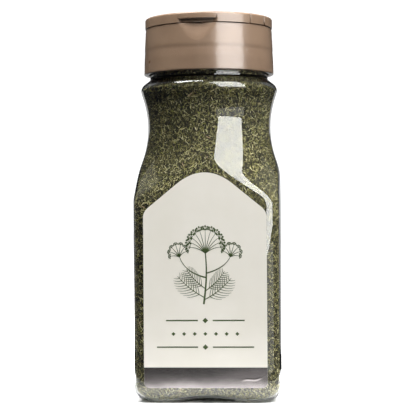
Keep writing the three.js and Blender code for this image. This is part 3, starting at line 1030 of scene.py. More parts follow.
@dataclass
class DillFill:
    """The dried dill weed: a packed core, dark as painted shade deep in the dill, with thousands of
    loose bits at its surface.
    """

    form: JarForm
    kinds: tuple[Bits, ...]
    clearance: float = 0.2
    loose_layer: float = 1.5
    mouth_radius: float = 24.3
    shoulder_line: float = 137.9
    top: float = 156.0
    crown: float = 1.2
    crown_shares: tuple[float, ...] = (0.96, 0.8, 0.6, 0.4, 0.2)
    steepest: float = 60.0
    hidden_half: float = 25.2
    hidden_face: float = -29.0
    hidden_foot: float = 10.0
    hidden_peak: float = 99.0
    hidden_slope: float = 0.8

    def surface(self, depth: float) -> Shell:
        """The fill's outer surface, or one lying deeper in it.

        Args:
            depth: How far below the outer surface, in millimetres.

        Returns:
            The points and the faces.
        """
        form, line, top = self.form, self.shoulder_line, self.top
        inset = form.wall + self.clearance + depth
        foot = form.floor + self.clearance + depth
        neck = self.mouth_radius - self.clearance - depth
        ridge = form.shoulder_centre[0] + form.shoulder_rounding - inset
        profile = [
            (ridge, line - 0.9),
            (ridge - 0.25, line),
            (ridge - 1.5, line + 0.5),
            (ridge - 3.2, line + 1.1),
            (neck + 0.8, line + 2.6),
            (neck, line + 4.8),
            *[(neck, height) for height in np.linspace(line + 7, top - 1, 5)],
        ]
        for share in self.crown_shares:
            profile.append((neck * share, top + self.crown * (1 - share)))
        lower = form.lower_rings(inset, foot)
        upper = np.array(form.round_rings([(radius, height - depth) for radius, height in profile]))
        directions = form.directions()
        upper[:, :, 2] += 0.25 * np.sin(5 * directions + 1) + 0.2 * np.sin(11 * directions)
        ends = (0, 0, form.base_rise + foot), (0, 0, top + self.crown - depth)
        return skin(np.concatenate([lower, upper]), *ends)

    def seen(self, points: np.ndarray, faces: list) -> list:
        """The faces of the fill's surface that the label doesn't hide.

        Args:
            points: The surface's points.
            faces: Its faces.

        Returns:
            The faces outside the gabled patch behind the label.
        """
        kept = []
        for face in faces:
            x, y, z = points[list(face)].mean(0)
            gable = self.hidden_peak - self.hidden_slope * abs(x)
            behind = abs(x) < self.hidden_half and y < self.hidden_face
            if not (behind and self.hidden_foot < z < gable):
                kept.append(face)
        return kept

    def strew(self, kind: Bits, ground: bpy.types.Object, tree: bpy.types.NodeTree) -> None:
        """Strews one kind of bit over the fill and keeps it as a plain mesh.

        Args:
            kind: The bits.
            ground: The fill's surface.
            tree: The node tree that strews them.
        """
        bit = kind.prototype()
        maker = ground.modifiers.new("strew", "NODES")
        maker.node_group = tree
        values = {
            "Bit": bit,
            "Density": kind.per_square_cm * 1e4,
            "Deepest": kind.deepest * MM,
            "Tilt": math.radians(self.steepest),
            "Seed": kind.seed,
            "Finish": kind.herb.build(),
        }
        for item in tree.interface.items_tree:
            if item.in_out == "INPUT" and item.name in values:
                maker[item.identifier] = values[item.name]
        mesh = modified_mesh(ground)
        mesh.name = kind.name
        ground.modifiers.remove(maker)
        bpy.data.objects.remove(bit)
        piece = linked(kind.name, mesh)
        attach(piece, JAR)
        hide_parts("dill_weed")
        log.info("%s: %d faces", kind.name, len(mesh.polygons))

    def build(self) -> None:
        """Makes the core and every kind of bit in place of the CAD fill."""
        # The core wears painted shadow: near black, as the shade deep among the bits.
        dark = HerbShadow().build()
        core = mesh_piece("dill_core", *self.surface(self.loose_layer), dark)
        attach(core, JAR)
        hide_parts("dill_weed")
        log.info("dill_core: %d faces", len(core.data.polygons))
        points, faces = self.surface(0.0)
        faces = self.seen(points, faces)
        tree = Strewer("strewn_dill").build()
        for kind in self.kinds:
            low = [face for face in faces if points[list(face)].mean(0)[2] < kind.highest]
            ground = mesh_piece("dill_ground", points, low, dark)
            self.strew(kind, ground, tree)
            bpy.data.objects.remove(ground)


# ---------------------------------------------------------------- the label


def step_along(angle: float) -> np.ndarray:
    """The (x, z) step of length 1 at an angle in radians."""
    return np.array([math.cos(angle), math.sin(angle)])


@dataclass
class FrontLabel:
    """The paper label: a gabled sheet, a dark foil band along its foot and a sprig in green ink."""

    paper: Paper
    foil: FoilInk
    ink: Paper
    face_y: float = -32.12
    middle_x: float = -0.35
    width: float = 53.4
    bottom: float = 6.8
    side_top: float = 83.0
    peak: float = 104.9
    peak_rounding: float = 12.3
    corner: float = 2.6
    shoulder_turn: float = 2.4
    thickness: float = 0.25
    ink_height: float = 0.03
    ink_root: float = 0.02
    band_top: float = 15.7
    border: float = 0.02
    ray_width: float = 0.42
    seed_width: float = 0.26
    leaflet_width: float = 0.3
    rule_width: float = 0.55
    fan: float = 1.2
    ripple_height: float = 0.008
    wrinkle_height: float = 0.03
    wrinkle_width: float = 0.3
    wrinkle_starts: tuple[float, float] = (15.0, 18.0)
    wrinkle_ends: tuple[float, float] = (22.5, 25.0)

    def top_edge(self, x: np.ndarray) -> np.ndarray:
        """The gable's height.

        Args:
            x: How far from the label's middle.

        Returns:
            The height at each x.
        """
        half, turn, peak = self.width / 2, self.shoulder_turn, self.peak_rounding
        slope = (self.peak - self.side_top) / half
        away = np.abs(x)
        rounded = self.peak - slope * peak + slope * peak * (1 - (away / peak) ** 2) / 2
        run = np.sqrt(np.clip((half - away) / turn, 0, 1))
        side = self.side_top - turn * (1 - run) ** 2 + slope * turn * run**2
        line = np.where(away > half - turn, side, self.peak - slope * away)
        return np.where(away < peak, rounded, line)

    def bottom_edge(self, x: np.ndarray) -> np.ndarray:
        """The foot's height at each x, with its rounded corners."""
        run = 1 - np.sqrt(np.clip((self.width / 2 - np.abs(x)) / self.corner, 0, 1))
        return self.bottom + self.corner * run**2

    def relief(self, x: np.ndarray, z: np.ndarray) -> np.ndarray:
        """How far the stuck sheet stands out: a wrinkle near its lower right corner, and ripples.

        Args:
            x: Across the label.
            z: The height.

        Returns:
            The relief at each point.
        """
        line = z - 10.6 - 0.1 * (x - 20) - 0.25 * np.sin((x - 16) * 0.9)
        along = smooth_step(x, *self.wrinkle_starts) * (1 - smooth_step(x, *self.wrinkle_ends))
        wave = np.sin(0.31 * x + 0.17 * z) * np.sin(0.23 * z - 0.12 * x)
        wrinkle = self.wrinkle_height * along * np.exp(-((line / self.wrinkle_width) ** 2))
        return wrinkle + self.ripple_height * wave

    def sheet(self, border: float, top: float | None, proud: float, rows: int) -> Shell:
        """A sheet that follows the label's outline.

        Args:
            border: How far it stays inside the label's sides and foot.
            top: The height it stops at, or None where it fills the gable.
            proud: How far its face stands in front of the label's own face.
            rows: How many rows of points it has.

        Returns:
            The points and the faces.
        """
        half = self.width / 2 - border
        x = half * np.sin(np.linspace(-math.pi / 2, math.pi / 2, 121))
        spread = x * self.width / 2 / half
        foot = self.bottom_edge(spread) + border
        head = self.top_edge(spread) if top is None else np.full_like(x, top)
        share = np.linspace(0, 1, rows)[:, None]
        z = foot[None] * (1 - share) + head[None] * share
        wide = np.broadcast_to(x, z.shape)
        face = self.face_y - self.thickness
        root = face + self.ink_root if proud else self.face_y
        front = np.stack([wide, face - proud - self.relief(wide, z), z], -1)
        return thick_patch(front, np.stack([wide, np.full_like(z, root), z], -1))

    def ribbon(self, path: np.ndarray, widths: np.ndarray) -> Shell:
        """An ink line along a path of (x, z) points.

        Args:
            path: The line's middle.
            widths: Its width at each point.

        Returns:
            The points and the faces.
        """
        run = np.gradient(path, axis=0)
        run /= np.linalg.norm(run, axis=1)[:, None]
        left = np.stack([-run[:, 1], run[:, 0]], 1) * widths[:, None] / 2
        face = self.face_y - self.thickness
        rows = []
        for edge in (path - left, path + left):
            lift = face - self.ink_height - self.relief(edge[:, 0], edge[:, 1])
            rows.append(np.stack([edge[:, 0], lift, edge[:, 1]], 1))
        front = np.array(rows)
        back = front.copy()
        back[..., 1] = face + self.ink_root
        return thick_patch(front, back)

    def stroke(
        self, start: np.ndarray, bend: np.ndarray, end: np.ndarray, width: float, steps: int = 9
    ) -> Shell:
        """A curved ink line that tapers to its end.

        Args:
            start: Its first (x, z) point.
            bend: The point it is pulled towards.
            end: Its last point.
            width: Its width at the start.
            steps: How many points it has.

        Returns:
            The points and the faces.
        """
        t = np.linspace(0, 1, steps)[:, None]
        path = (1 - t) ** 2 * start + 2 * t * (1 - t) * bend + t**2 * end
        return self.ribbon(path, width * (1 - 0.65 * t[:, 0]))

    def diamond(self, x: float, z: float, reach: float) -> Shell:
        """A small solid diamond of ink."""
        path = np.array([(x + share * reach, z) for share in (-1, -0.5, 0, 0.5, 1)])
        return self.ribbon(path, np.array([0.05, reach, 2 * reach, reach, 0.05]))

    def frond(self, root: np.ndarray, heading: float, length: float, side: float) -> list[Shell]:
        """One feathery side frond of the sprig.

        Args:
            root: Where it leaves the stem.
            heading: Its direction in radians.
            length: Its length.
            side: How much it curls, positive for anticlockwise.

        Returns:
            Every line in it.
        """
        t = np.linspace(0, 1, 12)
        angle = heading + side * 0.45 * t
        steps = polar(angle, length / (len(t) - 1))
        spine = root + np.cumsum(steps, axis=0) - steps[0]
        lines = [self.ribbon(spine, self.ray_width * (1 - 0.6 * t))]
        for number in range(2, len(t) - 1):
            reach = 0.36 * length * math.sin(math.pi * (0.2 + 0.75 * t[number])) + 0.6
            for hand in (-1, 1):
                way = angle[number] + hand * 0.75
                tip = spine[number] + reach * step_along(way)
                bow = spine[number] + 0.6 * reach * step_along(way + 0.25 * hand)
                lines.append(self.stroke(spine[number], bow, tip, self.leaflet_width, 6))
        return lines

    def umbel(self, root: np.ndarray, heading: float, reach: float, rays: int) -> list[Shell]:
        """A dill flower head: a fan of rays, each ending in a tuft of seeds.

        Args:
            root: Where the rays meet.
            heading: The fan's middle direction in radians.
            reach: The longest ray's length.
            rays: How many rays.

        Returns:
            Every line in it.
        """
        lines = []
        for share in np.linspace(-1, 1, rays):
            way = heading + self.fan * share
            length = reach * (1 - 0.3 * share * share)
            tip = root + length * step_along(way)
            bow = root + 0.6 * length * step_along(way - 0.3 * share)
            lines.append(self.stroke(root, bow, tip, self.ray_width))
            for spread in np.linspace(-1, 1, 5):
                seed = tip + 0.17 * reach * step_along(way + 1.3 * spread)
                lines.append(self.stroke(tip, (tip + seed) / 2, seed, self.seed_width, 3))
                lines.append(self.diamond(*seed, 0.045 * reach + 0.1))
        return lines

    def sprig(self, foot: tuple[float, float], height: float) -> list[Shell]:
        """The dill sprig: a stem with feathery fronds, a large flower head and two small ones.

        Args:
            foot: The stem's lowest (x, z) point.
            height: The stem's height.

        Returns:
            Every line in it.
        """
        t = np.linspace(0, 1, 24)
        stem = np.stack([foot[0] + 1.2 * np.sin(2.4 * t), foot[1] + height * t], 1)
        lines = [self.ribbon(stem, 0.85 * (1 - 0.4 * t))]
        for place, length, lean in ((2, 15.0, 1.12), (6, 12.0, 1.0)):
            for hand in (-1, 1):
                start = stem[place + (hand < 0)]
                lines += self.frond(start, math.pi / 2 - hand * lean, length, hand * 0.9)
        for hand, place in ((-1, 12), (1, 14)):
            tip = np.array([hand * 11.0, foot[1] + height * 0.93])
            bend = np.array([hand * 8.5, stem[place][1] + 2.0])
            lines.append(self.stroke(stem[place], bend, tip, 0.6, 12))
            lines += self.umbel(tip, math.pi / 2 - hand * 0.3, 5.4, 7)
        return lines + self.umbel(stem[-1], math.pi / 2, 10.0, 11)

    def artwork(self) -> list[Shell]:
        """The sprig, two rules each broken by a diamond, and a row of small diamonds.

        Returns:
            The lines.
        """
        lines = self.sprig((-0.6, 43.0), 22.0)
        for z, reach in ((36.0, 17.0), (24.5, 21.0)):
            for hand in (-1, 1):
                path = np.stack([hand * np.linspace(3.2, reach, 24)[::hand], np.full(24, z)], 1)
                lines.append(self.ribbon(path, np.full(24, self.rule_width)))
            lines.append(self.diamond(0, z, 1.2))
        return lines + [self.diamond(place * 4.6, 30.2, 0.85) for place in range(-3, 4)]

    def build(self) -> None:
        """Makes the sheet, the foil band and the ink in place of the CAD label."""
        band = self.sheet(self.border, self.band_top, self.ink_height, 28)
        pieces = {
            "label_sheet": (self.sheet(0, None, 0, 120), self.paper),
            "label_foil_band": (band, self.foil),
            "label_sprig_ink": (joined(self.artwork()), self.ink),
        }
        for name, ((points, faces), finish) in pieces.items():
            piece = mesh_piece(name, points + (self.middle_x, 0, 0), faces, finish.build())
            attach(piece, JAR)
            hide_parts("front_label")
            log.info("%s: %d faces", name, len(faces))


# ---------------------------------------------------------------- the cap


@dataclass(frozen=True)
class CapForm:
    """The sizes that the cap's pieces share. Its frame is turned about Z from the jar's."""

    turn: float = -9.8
    skirt_bottom: float = 144.8
    skirt_kink: float = 155.5
    skirt_top: float = 165.2
    bottom_radius: float = 29.28
    kink_radius: float = 29.02
    top_radius: float = 28.5
    groove: float = 155.0
    groove_bottom: float = 151.2
    groove_top: float = 156.4
    groove_depth: float = 0.14
    inner_radius: float = 27.2
    thread_depth: float = 1.2
    thread_flank: tuple[float, float] = (0.35, 0.8)
    deck: float = 1.3
    lid_radius: float = 28.8
    lid_top: float = 170.0
    seam: float = 0.25
    plate: float = 1.3
    rim: float = 1.9
    edge_rounding: float = 0.9
    crease_rounding: float = 0.12
    corner_rounding: float = 0.3
    inner_corner_rounding: float = 2.0
    bridge_front: float = -17.3
    bridge_back: float = -8.9
    bridge_wall: float = 1.2
    bridge_sink: float = 0.4
    hinge_gap: float = 0.4
    spoon_radius: float = 21.5
    spoon_front: float = -5.0
    shaker_radius: float = 2.5
    shaker_spacing: float = 7.6
    shaker_row: float = -20.8
    seal_wall: float = 0.8
    seal_reach: float = 0.8
    seal_clearance: float = 0.4
    thumb_half_angle: float = 17.8
    thumb_end: float = 3.0
    thumb_depth: float = 0.9
    thumb_height: float = 1.9
    thumb_steps: int = 8
    scoop_height: float = 7.4
    scoop_depth: float = 1.2
    scoop_rounding: float = 600.0
    scoop_edge: float = 0.35
    scoop_half_angle: float = 23.0
    scoop_turn: float = 2.9
    foot_rounding: float = 0.4
    top_rounding: float = 0.12
    thread_step: float = 0.35
    under_radii: tuple[float, ...] = (5.0, 12.0, 20.0, 26.6)
    deck_radii: tuple[float, ...] = (25.0, 18.0, 10.0, 4.0)
    lid_points: int = 420
    under_shares: tuple[float, ...] = (0.15, 0.35, 0.55, 0.75, 0.92)
    plate_shares: tuple[float, ...] = (0.9, 0.7, 0.5, 0.3, 0.12)
    under_blend: float = 2.5
    outer_blend: float = 0.6
    sharp: float = 35.0

    def skirt_radius(self, height: np.ndarray) -> np.ndarray:
        """The skirt's outer radius before the scoop.

        Args:
            height: Where on the skirt.

        Returns:
            The radius there: two cones, less the shallow groove where they meet.
        """
        cones = (self.skirt_bottom, self.skirt_kink, self.skirt_top)
        cone = np.interp(height, cones, (self.bottom_radius, self.kink_radius, self.top_radius))
        bends = (cones[0], self.groove_bottom, self.groove, self.groove_top, cones[-1])
        return cone - np.interp(height, bends, (0, 0, self.groove_depth, 0, 0))

    def placed(self, points: np.ndarray) -> np.ndarray:
        """Points of the cap's own frame, turned into the jar's."""
        c, s = math.cos(math.radians(self.turn)), math.sin(math.radians(self.turn))
        return points @ np.array([[c, s, 0], [-s, c, 0], [0, 0, 1]])


class Flap(Enum):
    """The pieces of the lid: the shaker flap in front, the fixed bridge and the spoon flap."""

    SHAKER = "shaker"
    BRIDGE = "bridge"
    SPOON = "spoon"


@dataclass
class CapMaker:
    """Builds the cap: the threaded skirt with its deck, the bridge, and the two hinged flaps."""

    form: CapForm
    finish: FlakedBronze
    thread: Thread

    def keep(self, piece: bpy.types.Object, body: str, node: str) -> None:
        """Rides a finished piece on its body in place of its CAD node.

        Args:
            piece: The piece.
            body: The body it rides on.
            node: The CAD node it replaces.
        """
        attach(piece, body)
        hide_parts(node)
        log.info("%s: %d faces", piece.name, len(piece.data.polygons))

    # ------------------------------------------------ skirt

    def scooped(self, directions: np.ndarray, height: float) -> np.ndarray:
        """The skirt's outer radius at a height, with the thumb scoop at the front.

        Args:
            directions: Where to look, in radians.
            height: The height.

        Returns:
            The radius in each direction.
        """
        form = self.form
        radius = np.full_like(directions, float(form.skirt_radius(height)))
        rise = (height - form.skirt_top + form.scoop_height) / form.scoop_height
        if rise <= 0:
            return radius
        cone, low = form.scoop_rounding, -form.kink_radius
        centre = low + (-form.top_radius - cone + form.scoop_depth - low) * rise
        along = centre * np.sin(directions - math.radians(form.scoop_turn))
        inside = along**2 - centre**2 + (cone * rise) ** 2
        cut = along - np.sqrt(np.maximum(inside, 0))
        cut = np.where((inside > 0) & (along > 0) & (cut > 20), cut, 99.0)
        return blended(radius, cut, form.scoop_edge)

    def cut(self, piece: bpy.types.Object, outline: np.ndarray) -> None:
        """Cuts an opening through the deck.

        Args:
            piece: The skirt.
            outline: The opening's (x, y) points, anticlockwise.
        """
        top, count = self.form.skirt_top, len(outline)
        points = np.vstack([lifted(outline, z) for z in (top - self.form.deck - 1, top + 1)])
        faces = grid_faces(2, count)
        faces += [tuple(reversed(range(count))), tuple(range(count, 2 * count))]
        cutter = mesh_piece("cutter", points, faces, piece.data.materials[0])
        maker = piece.modifiers.new("cut", "BOOLEAN")
        maker.object = cutter
        maker.operation = "DIFFERENCE"
        maker.solver = "EXACT"
        mesh = modified_mesh(piece)
        piece.modifiers.remove(maker)
        piece.data = mesh
        bpy.data.objects.remove(cutter)

    def spoon_outline(self, inset: float) -> np.ndarray:
        """The spoon opening's D-shaped outline.

        Args:
            inset: How far inside the opening's edge.

        Returns:
            (x, y) points, anticlockwise.
        """
        radius, front = self.form.spoon_radius - inset, self.form.spoon_front + inset
        start = math.asin(front / radius)
        return polar(np.linspace(start, math.pi - start, 73), radius)

    def skirt_rings(self) -> np.ndarray:
        """The skirt's rings: under the deck, down the thread, up the outside and over the deck.

        Returns:
            A rings by steps by 3 array.
        """
        form = self.form
        scoop = np.linspace(-90 - form.scoop_half_angle, -90 + form.scoop_half_angle, 150)
        rest = np.linspace(-90 + form.scoop_half_angle, 270 - form.scoop_half_angle, 261)[1:-1]
        directions = np.radians(np.concatenate([scoop, rest]) + form.scoop_turn)
        bearings = directions + math.radians(form.turn)
        inner, foot, top = form.inner_radius, form.skirt_bottom, form.skirt_top
        under = top - form.deck
        profile = [(radius, under) for radius in form.under_radii] + [(inner, under - 0.5)]
        for height in np.arange(under - 1, foot + 0.6, -form.thread_step):
            rise = height - (self.thread.start - self.thread.pitch / 2)
            ridge = self.thread.ridge(bearings, rise, form.thread_flank)
            profile.append((inner - form.thread_depth * ridge, height))
        profile += [(inner + 0.1, foot + 0.15), (inner + 0.3, foot)]
        soft = form.foot_rounding
        profile += arc((form.bottom_radius - soft, foot + soft), soft, -90, 0, 6)
        lower = np.linspace(foot + 1.2, top - form.scoop_height - 0.6, 16)
        upper = np.arange(top - form.scoop_height - 0.3, top - 0.2, 0.25)
        profile += [(self.scooped(directions, height), height) for height in [*lower, *upper]]
        soft = form.top_rounding
        for inset, height in arc((-soft, top - soft), soft, 0, 90, 5):
            profile.append((self.scooped(directions, height) + inset, height))
        profile += [(radius, top) for radius in form.deck_radii]
        return np.array([ring(directions, radius, height) for radius, height in profile])

    def skirt(self) -> None:
        """Makes the threaded skirt with its deck, and cuts the openings."""
        form = self.form
        ends = (0, 0, form.skirt_top - form.deck), (0, 0, form.skirt_top)
        piece = mesh_piece("cap_skirt", *skin(self.skirt_rings(), *ends), self.material)
        self.cut(piece, self.spoon_outline(0))
        around = np.radians(np.arange(0, 360, 9))
        for place in (-1, 0, 1):
            x = place * form.shaker_spacing
            self.cut(piece, polar(around, form.shaker_radius, x, form.shaker_row))
        points = np.zeros(len(piece.data.vertices) * 3)
        piece.data.vertices.foreach_get("co", points)
        piece.data.vertices.foreach_set("co", form.placed(points.reshape(-1, 3)).ravel())
        piece.data.shade_smooth()
        piece.data.set_sharp_from_angle(angle=math.radians(form.sharp))
        self.keep(piece, JAR, "cap_base")

    # ------------------------------------------------ lid

    def edges(self, flap: Flap) -> tuple[float, float]:
        """The y of a lid piece's front and back edge. 99 stands for no edge but the rim.

        Args:
            flap: The piece.

        Returns:
            The front edge and the back edge.
        """
        form = self.form
        gap = form.hinge_gap / 2
        return {
            Flap.SHAKER: (-99.0, form.bridge_front - gap),
            Flap.BRIDGE: (form.bridge_front + gap, form.bridge_back - gap),
            Flap.SPOON: (form.bridge_back + gap, 99.0),
        }[flap]

    def middle(self, flap: Flap) -> np.ndarray:
        """The point halfway between a lid piece's edges.

        Args:
            flap: The piece.

        Returns:
            Its x and y.
        """
        low, high = self.edges(flap)
        radius = self.form.lid_radius
        return np.array([0, (max(low, -radius) + min(high, radius)) / 2])

    def reaches(
        self, flap: Flap, turns: np.ndarray, inset: np.ndarray | float
    ) -> tuple[np.ndarray, np.ndarray]:
        """How far a lid piece's outline lies from its middle.

        Args:
            flap: The piece.
            turns: The directions looked in.
            inset: How far inside the true outline.

        Returns:
            The reach to the rim and the reach to the nearer straight edge.
        """
        low, high = self.edges(flap)
        centre = self.middle(flap)[1]
        up = np.sin(turns)
        along = centre * up
        rim = -along + np.sqrt(along**2 - centre**2 + (self.form.lid_radius - inset) ** 2)
        steep = np.where(np.abs(up) < 1e-6, 1e-6, up)
        edge = np.where(up > 0, high - inset - centre, low + inset - centre)
        return rim, np.abs(edge / steep)

    def outline(
        self, flap: Flap, turns: np.ndarray, inset: np.ndarray | float, corner: float
    ) -> np.ndarray:
        """A lid piece's outline.

        Args:
            flap: The piece.
            turns: The directions of its points from its middle.
            inset: How far inside the true outline.
            corner: How much its corners are rounded.

        Returns:
            (x, y) points.
        """
        reach = blended(*self.reaches(flap, turns, inset), corner)
        return polar(turns, reach, *self.middle(flap))

    def even_turns(self, flap: Flap, count: int) -> np.ndarray:
        """Directions that space a lid piece's outline evenly.

        Args:
            flap: The piece.
            count: How many points the outline has.

        Returns:
            The directions in radians.
        """
        fine = np.linspace(-math.pi / 2, 1.5 * math.pi, 6001)
        line = self.outline(flap, fine, 0.0, self.form.corner_rounding)
        length = np.cumsum(np.linalg.norm(np.diff(line, axis=0), axis=1))
        length = np.concatenate([[0], length])
        return np.interp(np.linspace(0, length[-1], count + 1)[:-1], length, fine)

    def outer_rings(self, flap: Flap, turns: np.ndarray) -> list[np.ndarray]:
        """The rings of a lid piece's outside, from its lower edge up over its rounded top edge.

        Args:
            flap: The piece.
            turns: The directions of its points.

        Returns:
            The rings, with the thumb recess cut in below the rim's lip.
        """
        form = self.form
        rim, straight = self.reaches(flap, turns, 0.0)
        at_rim = smooth_step(straight - rim, -form.outer_blend, form.outer_blend)
        rounding = form.crease_rounding + (form.edge_rounding - form.crease_rounding) * at_rim
        bottom = form.skirt_top + form.seam
        levels = [(0.15, bottom), (0.0, bottom + 0.15)]
        for share in np.sin(np.linspace(0.2, math.pi / 2, form.thumb_steps)):
            levels.append((0.0, bottom + form.thumb_height * share))
        for turn in np.radians(np.linspace(0, 90, 8)):
            inset = rounding * (1 - math.cos(turn))
            levels.append((inset, form.lid_top - rounding * (1 - math.sin(turn))))
        rings = []
        for inset, height in levels:
            points = self.outline(flap, turns, inset, form.corner_rounding)
            bearing = np.degrees(np.arctan2(points[:, 0], np.abs(points[:, 1])))
            bearing = bearing - form.scoop_turn * (flap is Flap.SHAKER)
            edge = np.clip((form.thumb_half_angle - np.abs(bearing)) / form.thumb_end, 0, 1)
            cove = np.sqrt(np.clip(1 - ((height - bottom) / form.thumb_height) ** 2, 0, 1))
            low = edge * at_rim * cove * (flap is not Flap.BRIDGE)
            scale = 1 - low * form.thumb_depth / np.linalg.norm(points, axis=1)
            rings.append(lifted(points * scale[:, None], height))
        return rings

    def lid_piece(self, flap: Flap, name: str, body: str, node: str) -> None:
        """Makes one piece of the lid: a plate with a rim, open below.

        Args:
            flap: Which piece.
            name: Its name.
            body: The body it rides on.
            node: The CAD node it replaces.
        """
        form, fixed, middle = self.form, flap is Flap.BRIDGE, self.middle(flap)
        turns = self.even_turns(flap, form.lid_points)
        under, seam = form.lid_top - form.plate, form.skirt_top + form.seam
        rim, straight = self.reaches(flap, turns, 0.0)
        at_rim = smooth_step(straight - rim, -form.under_blend, form.under_blend)
        wall = form.bridge_wall if fixed else form.rim * at_rim
        bottom = form.skirt_top - form.bridge_sink if fixed else seam
        soft = self.outline(flap, turns, wall + 0.3, form.inner_corner_rounding)
        edge = self.outline(flap, turns, wall, form.inner_corner_rounding)
        rings = [lifted(middle + share * (soft - middle), under) for share in form.under_shares]
        rings += [lifted(soft, under), lifted(edge, under - 0.3)]
        drop = bottom + 0.1
        depth = drop if fixed else drop + (under - 0.5 - drop) * (1 - at_rim)
        rings.append(lifted(edge, np.minimum(depth, under - 0.1 * at_rim)))
        outside = self.outer_rings(flap, turns)
        if fixed:
            root = self.outline(flap, turns, 0.8, form.corner_rounding)
            rings += [lifted(root, bottom), lifted(root, seam)]
        else:
            for low in outside[: form.thumb_steps + 2]:
                raised = (under - 0.6 + 0.001 * low[:, 2]) * (1 - at_rim) + low[:, 2] * at_rim
                low[:, 2] = np.maximum(low[:, 2], raised)
        rings += outside
        flat = outside[-1][:, :2] - middle
        rings += [lifted(middle + share * flat, form.lid_top) for share in form.plate_shares]
        points, faces = skin(np.array(rings), (*middle, under), (*middle, form.lid_top))
        piece = mesh_piece(name, form.placed(points), faces, self.material, form.sharp)
        self.keep(piece, body, node)

    def seals(self) -> None:
        """Makes the seal under the spoon flap and the plugs under the shaker flap."""
        form, deck = self.form, self.form.skirt_top
        top, low = form.lid_top - form.plate + 0.5, deck - form.seal_reach
        outer = self.spoon_outline(form.seal_clearance)
        inner = self.spoon_outline(form.seal_clearance + form.seal_wall)
        levels = [(inner, top), (inner, low + 0.2), (0.5 * (inner + outer), low)]
        levels += [(outer, low + 0.2), (outer, top)]
        points, faces = skin(np.array([lifted(line, z) for line, z in levels]), None, None)
        seal = mesh_piece("spoon_flap_seal", form.placed(points), faces, self.material, form.sharp)
        self.keep(seal, "spoon_flap", "spoon_flap")
        around = np.radians(np.arange(0, 360, 10))
        profile = [(0.6, deck + 0.4), (1.9, deck + 0.4), (2.2, deck + 0.6), (2.2, top)]
        plugs = []
        for place in (-1, 0, 1):
            spot = place * form.shaker_spacing, form.shaker_row
            rings = [lifted(polar(around, radius, *spot), z) for radius, z in profile]
            plugs.append(skin(np.array(rings), (*spot, deck + 0.4), (*spot, top)))
        points, faces = joined(plugs)
        pad = mesh_piece("shaker_flap_plugs", form.placed(points), faces, self.material, form.sharp)
        self.keep(pad, "shaker_flap", "shaker_flap")

    def build(self) -> None:
        """Makes every piece of the cap."""
        self.material = self.finish.build()
        self.skirt()
        self.lid_piece(Flap.BRIDGE, "cap_bridge", JAR, "cap_base")
        self.lid_piece(Flap.SHAKER, "lid_shaker_flap", "shaker_flap", "shaker_flap")
        self.lid_piece(Flap.SPOON, "lid_spoon_flap", "spoon_flap", "spoon_flap")
        self.seals()


@dataclass(frozen=True)
class Crease:
    """A ridge in the film along a line of (bearing in degrees, height) points."""

    line: tuple[tuple[float, float], ...]
    height: float
    width: float
    fade: float = 0.6

    def lift(self, directions: np.ndarray, radius: float, height: float) -> np.ndarray:
        """How far the ridge stands out along a ring.

        Args:
            directions: The ring's directions in radians.
            radius: Its radius.
            height: Its height.

        Returns:
            The ridge's rise in each direction.
        """
        bearings, heights = zip(*self.line)
        bearing = math.radians(float(np.interp(height, heights, bearings)))
        away = (np.mod(directions - bearing + math.pi, 2 * math.pi) - math.pi) * radius
        inside = (height - heights[0]) / self.fade, (heights[-1] - height) / self.fade
        share = math.prod(min(1.0, max(0.0, end)) for end in inside)
        return self.height * share * np.exp(-((away / self.width) ** 2))


@dataclass
class ShrinkBand:
    """The clear shrink film round the cap's skirt, with its seam crease and its tucked lip."""

    form: CapForm
    finish: ShrinkFilm
    creases: tuple[Crease, ...]
    top: float = 164.6
    gap: float = 0.1
    film: float = 0.08
    lip_radius: float = 28.0
    lip_drop: float = 0.14
    ripple: float = 0.03
    ripple_start: tuple[float, float] = (146.0, 149.0)
    step: float = 0.4

    def lift(self, directions: np.ndarray, height: float) -> np.ndarray:
        """How far the film stands off the skirt.

        Args:
            directions: The ring's directions in radians.
            height: The ring's height.

        Returns:
            The lift in each direction.
        """
        wave = np.sin(9 * directions + 0.3 * height) * smooth_step(height, *self.ripple_start)
        lift, radius = self.ripple * wave, self.form.bottom_radius
        return lift + sum(crease.lift(directions, radius, height) for crease in self.creases)

    def side(self, proud: float, drop: float) -> list[np.ndarray]:
        """The rings of the film's inner or outer side, from its lip up.

        Args:
            proud: How far the side stands off the skirt.
            drop: How far its lip hangs below the inner one.

        Returns:
            The rings.
        """
        form, low = self.form, self.form.skirt_bottom
        directions = np.radians(np.arange(0, 360, self.step))
        wave = 0.06 * np.sin(13 * directions) + 0.05 * np.sin(29 * directions + 1)
        tuck, edge = low - self.lip_drop, form.bottom_radius
        lip = [(self.lip_radius, tuck), (edge - 0.3, tuck), (edge + 0.02, low + 0.1)]
        rings = [ring(directions, r + self.gap + wave, z - drop + 0.5 * wave) for r, z in lip]
        for height in np.arange(low + 0.5, self.top, 0.3):
            radius = float(form.skirt_radius(height)) + proud + self.lift(directions, height)
            rings.append(ring(directions, radius, height))
        return rings

    def build(self) -> None:
        """Makes the film in place of its CAD node."""
        rings = self.side(self.gap, 0.0) + self.side(self.gap + self.film, self.film)[::-1]
        points, faces = skin(np.array(rings)[::-1], None, None)
        points = self.form.placed(points)
        film = mesh_piece("cap_shrink_film", points, faces, self.finish.build(), 60)
        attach(film, JAR)
        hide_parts("shrink_band")
        log.info("%s: %d faces", film.name, len(faces))


# ---------------------------------------------------------------- the studio


class Reach(Enum):
    """What a lamp's light reaches: (matt surfaces, reflections)."""

    MATT = (True, False)
    GLOSS = (False, True)


